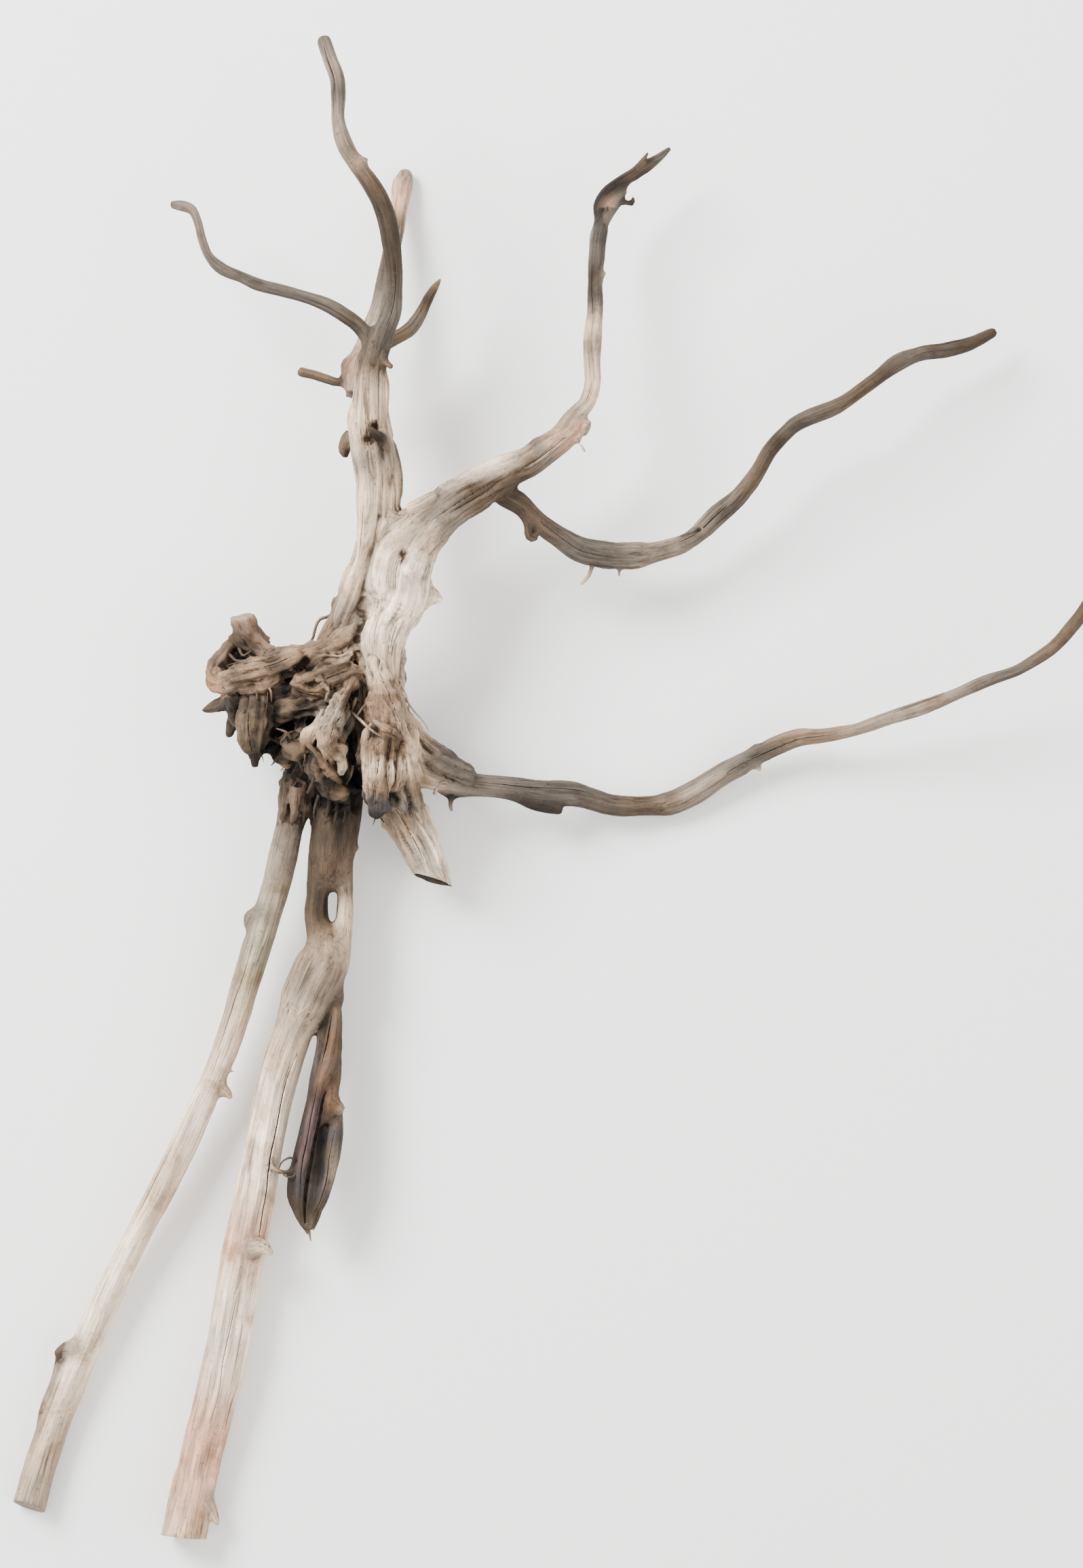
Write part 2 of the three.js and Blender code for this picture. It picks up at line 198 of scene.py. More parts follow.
BALL = {
    "core": [(-161, 96, 50, 23), (-175, 71, 46, 26), (-174, 43, 44, 25), (-166, 18, 44, 22)],
    "column_back": [(-137, 123, 58, 15), (-136, 96, 54, 18), (-133, 63, 50, 21),
        (-128, 33, 46, 23), (-118, 8, 42, 19)],
    "root_flare": [(-122, 62, 60, 9), (-110, 46, 60, 11), (-98, 34, 58, 10.5), (-83, 24, 56, 9),
        (-66, 17, 53, 8)],
    "ring_floor": [(-245, 103, 48, 7), (-235, 110, 50, 10), (-227, 107, 54, 11),
        (-219, 105, 58, 11), (-212, 101, 60, 10)],
    "stub_flare": [(-233, 123, 62, 10), (-229, 115, 62, 11), (-221, 107, 62, 11), (-212, 99, 66, 10)],
    "shoulder_web": [(-145, 123, 74, 11), (-160, 110, 78, 12), (-176, 104, 80, 10),
        (-191, 100, 80, 10), (-207, 99, 78, 9)],
    "ridge_web": [(-159, 95, 80, 11), (-174, 83, 80, 12), (-189, 73, 76, 11), (-204, 68, 72, 9)],
    "gap_fill": [(-180, 59, 62, 8), (-194, 53, 62, 10), (-206, 46, 60, 8)],
    "low_web": [(-167, 73, 84, 9), (-180, 67, 82, 10), (-194, 64, 80, 10), (-205, 63, 76, 8)],
    "collar_tooth_one": [(-198, 13, 60, 6), (-202, -7, 58, 4.5), (-204, -19, 55, 1)],
    "collar_tooth_two": [(-191, 8, 66, 5.5), (-193, -10, 64, 4), (-195, -20, 60, 1)],
    "collar_tooth_three": [(-184, 13, 62, 6), (-185, -5, 60, 4.5), (-187, -17, 56, 1)],
    "ball_back": [(-151, 96, 56, 15), (-171, 96, 56, 15), (-191, 91, 56, 14), (-211, 86, 58, 13),
        (-229, 84, 62, 9)],
    "ball_low": [(-151, 69, 48, 13), (-176, 63, 50, 15), (-196, 61, 52, 13), (-212, 62, 56, 10)],
    "ball_foot": [(-151, 28, 44, 13), (-172, 13, 46, 14), (-180, -7, 46, 11)],
    "arm_under": [(-190, 83, 74, 7), (-197, 78, 74, 10), (-209, 77, 76, 8), (-223, 79, 76, 6)],
    "wedge_side": [(-210, 68, 74, 7), (-210, 53, 74, 6.5), (-214, 39, 74, 4.5), (-220, 27, 76, 2)],
    "crumb_one": [(-208, 48, 80, 4.5), (-213, 38, 78, 4), (-207, 28, 74, 4), (-198, 25, 70, 3.5)],
    "crumb_two": [(-183, 53, 80, 4), (-191, 51, 84, 4), (-197, 43, 86, 3.5), (-191, 37, 88, 3)],
    "under_curl": [(-152, 58, 84, 4), (-156, 40, 90, 3.5), (-153, 28, 86, 3), (-152, 13, 74, 3)],
    "flap": [(-174, 14, 80, 5), (-167, 8, 80, 6), (-159, 5, 76, 4.5), (-150, 8, 70, 2.5)],
    "lobe_crack_strip": [(-134, 56, 104, 1.5), (-126, 52, 106, 1.5), (-117, 46, 102, 1.5),
        (-112, 38, 96, 1)],
    "lobe_strip": [(-138, 53, 96, 4), (-140, 33, 98, 4), (-139, 13, 96, 3.5), (-136, -2, 90, 2.5)],
    "ball_top_strand": [(-149, 107, 86, 3.5), (-159, 103, 90, 4), (-170, 103, 90, 4),
        (-176, 101, 90, 3)],
    "ridge_lumps": [(-173, 87, 98, 3), (-166, 80, 98, 3), (-169, 70, 96, 2.5)],
    "arm_left": [(-154, 105, 76, 7), (-168, 107, 80, 4.5), (-181, 105, 84, 5),
        (-194, 100, 86, 8.5), (-206, 95, 87, 12), (-218, 91, 87, 13.5), (-233, 88, 84, 12.5),
        (-242, 86, 78, 7.5)],
    "arm_top": [(-175, 102, 66, 8), (-195, 103, 66, 7), (-209, 104, 66, 6), (-219, 112, 66, 7.5),
        (-227, 122, 66, 9.5), (-232, 132, 66, 9.5)],
    "arm_end": [(-229, 119, 63, 7), (-242, 107, 60, 6.5), (-251, 95, 57, 7), (-249, 86, 64, 7.5),
        (-238, 84, 74, 7.5)],
    "spike_left": [(-231, 78, 72, 7), (-246, 70, 60, 5.5), (-260, 65, 54, 2.5)],
    "spike_down": [(-233, 78, 74, 7), (-239, 59, 62, 4.5), (-242, 46, 60, 2)],
    "hang_mid": [(-237, 80, 76, 5), (-235, 68, 72, 3.5), (-236, 55, 68, 2.5), (-234, 51, 66, 1)],
    "strand_low": [(-223, 79, 84, 5), (-213, 68, 80, 4), (-207, 59, 76, 2.5)],
    "wedge": [(-219, 77, 76, 11), (-220, 60, 84, 12), (-221, 43, 84, 10.5), (-220, 32, 80, 6),
        (-221, 25, 78, 2)],
    "block_strip_one": [(-181, 38, 94, 3), (-173, 29, 100, 3.5), (-165, 20, 98, 3),
        (-159, 12, 88, 1.5)],
    "block_strip_two": [(-161, 34, 98, 3), (-168, 23, 99, 3), (-177, 13, 92, 3), (-182, 4, 82, 1)],
    "block_strip_three": [(-177, 27, 98, 2.5), (-174, 17, 98, 3), (-169, 8, 90, 2.5),
        (-167, -1, 80, 1)],
    "dark_lobe": [(-195, 83, 66, 13), (-205, 66, 70, 13), (-212, 48, 70, 9)],
    "brown_mass": [(-156, 93, 76, 13), (-170, 83, 78, 15), (-186, 74, 74, 13), (-198, 69, 70, 9)],
    "brown_ridge": [(-149, 95, 78, 12), (-167, 87, 86, 12), (-181, 81, 90, 9.5), (-190, 85, 93, 6)],
    "pale_stub": [(-170, 93, 88, 8), (-180, 89, 92, 7.5), (-187, 86, 94, 6.5), (-190, 85, 94, 4.5)],
    "curl": [(-150, 84, 86, 8), (-156, 70, 98, 9), (-162, 57, 106, 9.5), (-167, 46, 110, 8),
        (-165, 37, 111, 7), (-159, 32, 108, 5)],
    "curl_lip": [(-158, 38, 110, 4.5), (-156, 28, 106, 3.5), (-157, 19, 100, 2)],
    "curl_side": [(-146, 73, 88, 4.5), (-150, 60, 96, 4.5), (-155, 48, 102, 4.5),
        (-159, 41, 106, 3.5)],
    "ribbon": [(-170, 64, 94, 3.5), (-177, 53, 93, 3.5), (-182, 41, 90, 4), (-187, 30, 84, 4),
        (-185, 19, 80, 2.5)],
    "block": [(-171, 34, 84, 11), (-172, 22, 86, 12), (-171, 12, 84, 7.5)],
    "crumbly_side": [(-184, 46, 72, 11), (-194, 39, 76, 12), (-206, 32, 74, 6)],
    "crumbly_lumps": [(-195, 48, 84, 6), (-202, 40, 84, 6.5), (-189, 35, 86, 7)],
    "bark_collar": [(-185, 28, 50, 13), (-193, 8, 48, 12.5), (-196, -11, 46, 12)],
    "splinter_fan": [(-154, 13, 62, 15), (-162, -2, 68, 8.5), (-170, -17, 70, 2)],
    "splinter_fan_back": [(-150, 8, 60, 7), (-157, -7, 64, 4.5), (-166, -15, 66, 1.5)],
    "front_lobe": [(-126, 78, 84, 10), (-127, 58, 88, 13.5), (-126, 38, 90, 16),
        (-127, 16, 90, 15.5), (-130, 0, 86, 11.5), (-132, -9, 82, 5.5)],
    "front_lobe_knob": [(-121, 13, 84, 6), (-115, 1, 82, 7), (-112, -7, 76, 5)],
    "column_right": [(-119, 113, 74, 6), (-121, 88, 74, 7.5), (-118, 63, 72, 9),
        (-111, 41, 66, 11), (-102, 21, 54, 11)],
    "column_ridge": [(-135, 110, 84, 8), (-131, 92, 90, 6.5), (-122, 70, 92, 6.5),
        (-113, 48, 92, 6), (-108, 28, 88, 6), (-105, 8, 78, 6.5), (-102, -7, 66, 6)],
    "heel": [(-130, 28, 60, 17), (-119, 3, 50, 17.5), (-110, -19, 42, 15), (-101, -37, 35, 13),
        (-94, -53, 29, 13), (-89, -62, 27, 11.5)],
    "heel_left_edge": [(-123, -9, 56, 7), (-115, -28, 46, 6), (-105, -47, 38, 6), (-100, -57, 33, 4)],
    "heel_lip": [(-95, -55, 30, 10), (-88, -63, 27, 7), (-80, -67, 26, 4)],
}
TRUNK = {
    "trunk_left": [(-168, 93, 62, 17), (-156, 121, 66, 16), (-144, 152, 70, 15.5),
        (-135, 181, 74, 16), (-130, 211, 77, 17.5), (-130, 237, 79, 18.5), (-134, 261, 80, 17),
        (-136, 286, 82, 14), (-136, 306, 84, 13), (-133, 325, 87, 10.5), (-129, 339, 90, 9.5)],
    "trunk_right": [(-123, 51, 74, 15), (-128, 78, 76, 14.5), (-130, 100, 78, 15.5),
        (-127, 123, 78, 18), (-118, 147, 78, 23), (-115, 170, 78, 24), (-104, 191, 80, 22),
        (-86, 208, 82, 17)],
    "trunk_spur": [(-110, 150, 76, 15), (-95, 148, 74, 9), (-86, 146, 72, 3)],
    "front_stub": [(-126, 260, 94, 6), (-131, 264, 104, 4.5), (-135, 267, 110, 3)],
    "trunk_knot": [(-150, 267, 74, 6), (-154, 261, 72, 5.5), (-156, 255, 71, 4.5),
        (-155, 252, 70, 3)],
    "peeled_chip": [(-160, 135, 66, 7), (-165, 141, 66, 2.5), (-164, 148, 66, 1.5)],
    "shoulder": [(-145, 328, 66, 4), (-154, 319, 66, 6.5), (-153, 310, 66, 6), (-148, 300, 68, 6)],
    "trunk_nub": [(-150, 300, 66, 4), (-156, 295, 64, 2)],
    "trunk_twig": [(-153, 304, 66, 3.5), (-166, 307, 67, 3), (-179, 311, 69, 3),
        (-188, 313, 70, 3.5)],
    "trunk_knob": [(-128, 324, 92, 4.5), (-124, 316, 95, 3.5), (-121, 314, 96, 2.5)],
}
TOP_ROOTS = {
    "left_root": [(-135, 333, 86, 7.5), (-144, 344, 86, 6), (-156, 353, 87, 5.5),
        (-168, 360, 88, 5), (-184, 366, 88, 5), (-203, 371, 87, 4.5), (-218, 375, 86, 4.5),
        (-231, 381, 84, 4), (-245, 387, 82, 4.5), (-254, 396, 80, 4), (-260, 410, 78, 4),
        (-263, 422, 76, 4), (-268, 432, 74, 4), (-276, 435, 72, 4), (-282, 436, 70, 3)],
    "middle_root": [(-131, 325, 88, 9), (-126, 340, 94, 9.5), (-120, 355, 101, 7.5),
        (-118, 369, 107, 6), (-118, 385, 113, 6.5), (-120, 402, 118, 7.5), (-123, 419, 122, 7.5),
        (-129, 433, 125, 7.5), (-137, 446, 127, 7), (-146, 458, 128, 6.5), (-154, 473, 127, 6),
        (-158, 488, 125, 5.5), (-158, 504, 122, 5.5), (-159, 519, 119, 5.5), (-164, 533, 115, 5),
        (-169, 548, 111, 5)],
    "middle_root_knot": [(-142, 457, 130, 5.5), (-137, 459, 130, 2.5)],
    "back_root": [(-146, 295, 70, 11.5), (-144, 315, 64, 12), (-138, 339, 54, 10),
        (-131, 365, 43, 8), (-126, 392, 33, 7.5), (-121, 419, 23, 7.5), (-118, 446, 12, 7.5),
        (-116, 462, 6.5, 7.5), (-114, 469, 6, 5.5)],
    "thorn_root": [(-129, 332, 76, 6), (-118, 338, 71, 5), (-108, 345, 67, 5),
        (-101, 355, 64, 4.5), (-95, 368, 61, 4), (-90, 377, 58, 3), (-86, 383, 57, 1)],
}
RIGHT_LIMB = {
    "right_limb": [(-112, 187, 80, 21), (-85, 208, 82, 16.5), (-61, 223, 84, 16),
        (-43, 233, 84, 13.5), (-25, 243, 84, 11.5), (-11, 253, 83, 11.5), (3, 263, 82, 10.5),
        (15, 270, 80, 8.5), (20, 271, 79, 6.5), (25, 270, 78, 6.5)],
    "limb_hump": [(-87, 215, 84, 6), (-65, 232, 88, 7), (-40, 244, 90, 7.5), (-24, 252, 88, 4.5)],
    "limb_nub": [(-14, 256, 84, 6.5), (-16, 261, 86, 4.5)],
    "limb_ridge": [(-109, 210, 96, 4), (-99, 214, 98, 4.5), (-89, 221, 98, 3)],
    "claw_root": [(5, 266, 82, 10), (13, 279, 82, 8), (22, 289, 80, 6), (26, 302, 77, 6),
        (26, 321, 73, 6.5), (26, 337, 70, 6.5), (28, 358, 66, 6), (28, 378, 62, 6),
        (29, 399, 57, 6), (31, 417, 53, 6), (35, 432, 50, 6)],
    "claw": [(30, 425, 54, 3), (30, 437, 56, 4), (36, 447, 56, 4.5), (45, 454, 54, 5),
        (55, 460, 52, 5.5), (65, 467, 50, 5.5), (74, 473, 48, 3.5), (83, 481, 46, 2)],
    "claw_web": [(31, 431, 50, 4), (35, 439, 51, 4.5), (42, 446, 50, 4.5), (50, 453, 49, 3.5)],
    "claw_splinter": [(59, 466, 54, 3), (67, 476, 56, 1.5)],
    "claw_fork": [(36, 429, 50, 5.5), (42, 439, 47, 5), (47, 446, 45, 4), (51, 451, 44, 2)],
    "claw_peg": [(42, 443, 46, 3), (50, 441, 46, 2.5), (56, 441, 46, 2.5), (56, 445, 47, 1.5)],
    "hook": [(-26, 211, 74, 5), (-22, 201, 72, 3.5), (-19, 191, 70, 3), (-15, 191, 70, 2),
        (-15, 196, 70, 1.5)],
}
LONG_ROOTS = {
    "lower_root_knot": [(14, -1, 22, 4.5), (19, -3, 22, 5.5), (24, -4, 22, 4.5)],
    "lower_root_second_knot": [(146, 37, 18, 4), (151, 38, 18, 4)],
    "upper_root_knot": [(42, 181, 48, 4), (48, 178, 48, 4)],
    "upper_root": [(-41, 224, 76, 9.5), (-26, 215, 72, 9), (-11, 202, 66, 8), (2, 193, 61, 8.5),
        (15, 184, 58, 9), (32, 180, 52, 9.5), (52, 179, 46, 9.5), (73, 182, 42, 8),
        (91, 188, 40, 7), (105, 196, 40, 7), (118, 208, 42, 7.5), (135, 223, 46, 6.5),
        (147, 239, 50, 6), (160, 261, 55, 6), (172, 273, 58, 6), (187, 281, 60, 6),
        (210, 291, 60, 5), (233, 308, 57, 5), (253, 323, 52, 5.5), (267, 329, 48, 5),
        (289, 333, 40, 5), (309, 339, 34, 5), (325, 347, 29, 3.5)],
    "upper_root_nose": [(95, 193, 42, 4.5), (103, 192, 40, 4.5), (105, 189, 39, 2.5)],
    "lower_root": [(-116, 28, 60, 15), (-98, 19, 54, 12), (-81, 14, 48, 9.5), (-61, 10, 42, 8),
        (-36, 7, 36, 8), (-10, 4, 30, 8.5), (15, 2, 24, 9), (40, -5, 18, 8), (66, -6, 12, 8.5),
        (84, -4, 7.5, 9), (102, 4, 9, 9), (120, 15, 12, 8.5), (140, 27, 16, 8), (162, 38, 21, 7),
        (182, 45, 26, 6.5), (199, 47, 30, 6), (222, 51, 35, 5.5), (246, 59, 41, 5.5),
        (271, 67, 47, 6), (295, 77, 54, 5.5), (317, 87, 61, 5), (339, 95, 69, 4.5),
        (358, 107, 78, 5), (372, 121, 86, 5), (384, 137, 94, 4.5), (393, 156, 101, 4),
        (398, 177, 106, 3.5), (404, 195, 108, 2.5)],
    "under_root": [(-91, 12, 44, 5), (-80, 5, 42, 5.5), (-66, 5, 40, 5), (-50, 5, 38, 3.5),
        (-33, 2, 36, 4.5), (-18, -4, 34, 5), (-7, -7, 32, 4.5), (2, -9, 31, 4)],
    "under_root_peg": [(-78, 2, 44, 2.5), (-79, -4, 44, 2.5), (-78, -10, 44, 1)],
}
TWIGS = {
    "bark_twig": [(28, 183, 48, 3), (26, 172, 46, 2.5), (23, 164, 44, 2), (18, 159, 43, 1.5)],
    "tiny_twig": [(46, 173, 44, 1.5), (46, 164, 44, 1)],
    "side_twig": [(12, 266, 84, 2), (17, 259, 86, 1.5), (20, 253, 86, 1)],
    "up_thorn": [(30, 378, 62, 2.5), (34, 384, 62, 1.5), (38, 391, 62, 0.5)],
    "out_nub": [(147, 28, 16, 3.5), (152, 21, 16, 2.5)],
}

ALL_LIMBS = {**STEMS, **STUMP, **BALL, **TRUNK, **TOP_ROOTS, **RIGHT_LIMB, **LONG_ROOTS, **TWIGS}
print(len(ALL_LIMBS), "limbs with", sum(len(s) for s in ALL_LIMBS.values()), "stations")

# %% [markdown]
# ## A smooth path through the stations
# Straight lines between the stations would show as kinks. A cubic curve passes through every
# station with a slope taken from its neighbours, which is what numpy's gradient gives. The path
# is then cut into even steps. Each step keeps its point, its radius and how far along it lies.

# %% Make a path
PATH_STEP = 0.003
MM = 1000


def make_path(stations):
    """Points, radii and distances along a smooth curve through the stations, in metres."""
    stations = np.array(stations, float) / MM
    chord = np.linalg.norm(np.diff(stations[:, :3], axis=0), axis=1)
    at = np.concatenate([[0], np.cumsum(chord)])
    steps = max(3, int(np.ceil(at[-1] / PATH_STEP)) + 1)
    u = np.linspace(0, at[-1], steps)
    if len(at) > 2:
        slope = np.gradient(stations, at, axis=0)
    else:
        slope = np.diff(stations, axis=0)[[0, 0]] / at[-1]
    k = np.clip(np.searchsorted(at, u, side="right") - 1, 0, len(at) - 2)
    gap = at[k + 1] - at[k]
    t = ((u - at[k]) / gap)[:, None]
    gap = gap[:, None]
    path = (
        (2 * t**3 - 3 * t**2 + 1) * stations[k]
        + (t**3 - 2 * t**2 + t) * gap * slope[k]
        + (3 * t**2 - 2 * t**3) * stations[k + 1]
        + (t**3 - t**2) * gap * slope[k + 1]
    )
    path[:, 3] = np.interp(u, at, stations[:, 3])
    return path[:, :3], path[:, 3], u


PATHS = {name: make_path(stations) for name, stations in ALL_LIMBS.items()}
print("longest limb in metres:", round(max(path[2][-1] for path in PATHS.values()), 3))

# %% [markdown]
# ## One skin from many limbs
# Joined tubes would show a hard line wherever two of them cross, and real wood has none.
# Each path becomes a curve with a thickness, the curves become one mesh, and the Remesh modifier
# in voxel mode wraps a single closed skin around all of them. The voxel size sets the finest
# shape that survives, so it is smaller than the thinnest twig. A tip is rounded by a few extra
# points with a shrinking radius.

# %% Sweep the paths and fuse them
VOXEL = 0.0012
TIP_ANGLES = np.radians([35, 62, 82])
TIP_LENGTH = 0.7
WELD_DISTANCE = 1e-7


def link(name, data):
    """A new object at the origin, in the scene."""
    obj = bpy.data.objects.new(name, data)
    bpy.context.scene.collection.objects.link(obj)
    return obj


def applied(obj):
    """The object's mesh with its modifiers in it. The object itself is removed."""
    depsgraph = bpy.context.evaluated_depsgraph_get()
    mesh = bpy.data.meshes.new_from_object(obj.evaluated_get(depsgraph))
    mesh.name = obj.name
    bpy.data.objects.remove(obj)
    return mesh


def with_round_tip(points, radii):
    """The same path with a rounded end."""
    ahead = points[-1] - points[-2]
    ahead /= np.linalg.norm(ahead)
    reach = radii[-1] * np.sin(TIP_ANGLES)[:, None]
    tip_points = points[-1] + ahead * reach * TIP_LENGTH
    return np.vstack([points, tip_points]), np.append(radii, radii[-1] * np.cos(TIP_ANGLES))


def welded(mesh):
    """The mesh with its end caps joined to its tubes."""
    bm = bmesh.new()
    bm.from_mesh(mesh)
    bmesh.ops.remove_doubles(bm, verts=bm.verts, dist=WELD_DISTANCE)
    bmesh.ops.recalc_face_normals(bm, faces=bm.faces)
    bm.to_mesh(mesh)
    bm.free()
    return mesh


def sweep(name, paths, resolution=4):
    """A mesh of closed tubes, one along each path."""
    curve = bpy.data.curves.new(name, "CURVE")
    curve.dimensions = "3D"
    curve.bevel_depth = 1.0
    curve.bevel_resolution = resolution
    curve.use_fill_caps = True
    for points, radii, _ in paths:
        points, radii = with_round_tip(points, radii)
        spline = curve.splines.new("POLY")
        spline.points.add(len(points) - 1)
        spline.points.foreach_set("co", np.column_stack([points, np.ones(len(points))]).ravel())
        spline.points.foreach_set("radius", radii)
    return welded(applied(link(name, curve)))


def fused(mesh, voxel):
    """One closed skin around everything in the mesh."""
    obj = link(mesh.name, mesh)
    wrap = obj.modifiers.new("fuse", "REMESH")
    wrap.mode = "VOXEL"
    wrap.voxel_size = voxel
    return applied(obj)


skin = fused(sweep("driftwood_skin", PATHS.values()), VOXEL)
print("skin after fusing:", len(skin.vertices), "vertices")


# %% Keep the outer skin only
def keep_largest_shell(mesh):
    """Removes bubbles that fusing leaves inside, and loose crumbs outside."""
    bm = bmesh.new()
    bm.from_mesh(mesh)
    unseen = set(bm.verts)
    shells = []
    while unseen:
        front = [unseen.pop()]
        shell = list(front)
        while front:
            near = {e.other_vert(v) for v in front for e in v.link_edges} & unseen
            unseen -= near
            front = list(near)
            shell += front
        shells.append(shell)
    shells.sort(key=len)
    for shell in shells[:-1]:
        bmesh.ops.delete(bm, geom=shell, context="VERTS")
    bm.to_mesh(mesh)
    bm.free()
    return len(shells) - 1


print("shells removed:", keep_largest_shell(skin))

# %% [markdown]
# ## Where a point lies on its limb
# Grain runs along a limb, not along X, Y or Z. So every point of the skin needs its place on its
# own limb: how far across in two directions, and how far along. Each path carries a small frame
# that is turned as little as possible from step to step, and a point is measured in the frame of
# the nearest step. Where two limbs meet, both are kept with a weight, so one grain fades into the
# other with no seam.

# %% Give each path its frames
LIMB_NAMES = list(PATHS)
REACH = 0.030
UNPLACED_RADIUS = 0.005
BATCH = 4000


def path_frames(points):
    """Tangent and two cross directions at each step of a path."""
    tangent = np.gradient(points, axis=0)
    tangent /= np.linalg.norm(tangent, axis=1)[:, None]
    across = np.zeros_like(points)
    start = np.cross(tangent[0], [0.0, 0.0, 1.0])
    if np.linalg.norm(start) < 0.1:
        start = np.cross(tangent[0], [1.0, 0.0, 0.0])
    for i in range(len(points)):
        start = start - tangent[i] * (start @ tangent[i])
        start = start / np.linalg.norm(start)
        across[i] = start
    return tangent, across, np.cross(tangent, across)


FRAMES = {name: path_frames(PATHS[name][0]) for name in LIMB_NAMES}
print("frames for", len(FRAMES), "limbs")


# %% Measure every point on its limbs
def place_on_limbs(points):
    """For each point and its two nearest limbs: limb number, gap, place, fraction, radius."""
    count = len(points)
    limb = np.zeros((count, 2), int)
    gap = np.full((count, 2), REACH)
    place = np.zeros((count, 2, 3))
    fraction = np.zeros((count, 2))
    radius = np.full((count, 2), UNPLACED_RADIUS)
    for number, name in enumerate(LIMB_NAMES):
        path, radii, at = PATHS[name]
        margin = radii.max() + REACH / 2
        inside = ((points > path.min(0) - margin) & (points < path.max(0) + margin)).all(1)
        for ids in np.array_split(np.flatnonzero(inside), max(1, inside.sum() // BATCH)):
            if len(ids) == 0:
                continue
            spans = np.linalg.norm(points[ids, None, :] - path[None, :, :], axis=2) - radii
            step = spans.argmin(1)
            found = spans[np.arange(len(ids)), step]
            tangent, across, up = (axis[step] for axis in FRAMES[name])
            offset = points[ids] - path[step]
            along = np.clip((offset * tangent).sum(1), -PATH_STEP, PATH_STEP)
            offset = offset - tangent * along[:, None]
            here = np.column_stack([(offset * across).sum(1), (offset * up).sum(1), at[step] + along])
            nearer = found < gap[ids, 0]
            second = ~nearer & (found < gap[ids, 1])
            moved = ids[nearer]
            for values in (limb, gap, place, fraction, radius):
                values[moved, 1] = values[moved, 0]
            for slot, chosen in ((0, nearer), (1, second)):
                target = ids[chosen]
                limb[target, slot] = number
                gap[target, slot] = found[chosen]
                place[target, slot] = here[chosen]
                fraction[target, slot] = here[chosen, 2] / at[-1]
                radius[target, slot] = radii[step[chosen]]
    return limb, gap, place, fraction, radius


def on_limbs(limb_number, names):
    """Which points lie on one of the named limbs."""
    return np.isin(limb_number, [LIMB_NAMES.index(name) for name in names])


def coordinates(mesh):
    """The mesh's points as an array."""
    values = np.empty(len(mesh.vertices) * 3)
    mesh.vertices.foreach_get("co", values)
    return values.reshape(-1, 3)


def normals(mesh):
    """The mesh's point normals as an array."""
    values = np.empty(len(mesh.vertices) * 3)
    mesh.vertex_normals.foreach_get("vector", values)
    return values.reshape(-1, 3)


def move_points(mesh, points):
    """Puts the mesh's points where the array says."""
    mesh.vertices.foreach_set("co", points.ravel())
    mesh.update()


skin_points = coordinates(skin)
limb, gap, place, fraction, radius = place_on_limbs(skin_points)
print("points near two limbs:", int((gap[:, 1] < 0.004).sum()))

# %% [markdown]
# ## Soft joints
# Limbs grow into each other with a hollow curve, like a fillet. Averaging each point with its
# neighbours, again and again, rounds a crease. The weight keeps this to the places where two limbs
# are equally near, so that thin twigs don't shrink. Inside the root ball the creases stay sharper,
# because there the lobes press against each other instead of merging.

# %% Round the creases between limbs
CREASE_WIDTH = 0.007
FIRST_ROUNDS = 4
ROUNDS = 26
FIRST_WEIGHT = 0.12
CREASE_WEIGHT = 0.7
BALL_KEEPS = 0.45
THIN_RADIUS = 0.004


def neighbour_means(mesh):
    """A function that averages any per-point array over each point's neighbours."""
    ends = np.empty(len(mesh.edges) * 2, int)
    mesh.edges.foreach_get("vertices", ends)
    one, other = ends.reshape(-1, 2).T
    count = len(mesh.vertices)
    share = np.bincount(one, minlength=count) + np.bincount(other, minlength=count)

    def mean(values):
        total = np.bincount(one, values[other], count) + np.bincount(other, values[one], count)
        return total / np.maximum(share, 1)

    return mean


def smoothed(mesh, points, weight, rounds):
    """The points after so many rounds of averaging, as much as the weight says at each."""
    mean = neighbour_means(mesh)
    points = points.copy()
    for _ in range(rounds):
        for axis in range(3):
            points[:, axis] += (mean(points[:, axis]) - points[:, axis]) * weight
    return points


in_ball = on_limbs(limb[:, 0], BALL)
crease = np.clip(1 - (gap[:, 1] - gap[:, 0]) / CREASE_WIDTH, 0, 1)
weight = FIRST_WEIGHT + CREASE_WEIGHT * crease * np.where(in_ball, BALL_KEEPS, 1.0)
thin = np.clip(radius[:, 0] / THIN_RADIUS, 0.15, 1)
skin_points = smoothed(skin, skin_points, weight * thin * 0.9, FIRST_ROUNDS)
skin_points = smoothed(skin, skin_points, crease * thin * np.where(in_ball, 0.35, 0.7), ROUNDS)
move_points(skin, skin_points)
print("mean crease weight:", round(float(crease.mean()), 3))

# %% [markdown]
# ## Carve the grain
# Bare wood that has dried for years shows its fibres as ribs and furrows along the limb. They
# come from smooth random values that are stretched along the limb: wide soft lobes and shorter
# swellings that make the section uneven, then narrower ribs, then thin furrows. Random values
# from whole numbers give the same result every time the script runs. The root ball also gets
# lumps in all directions.

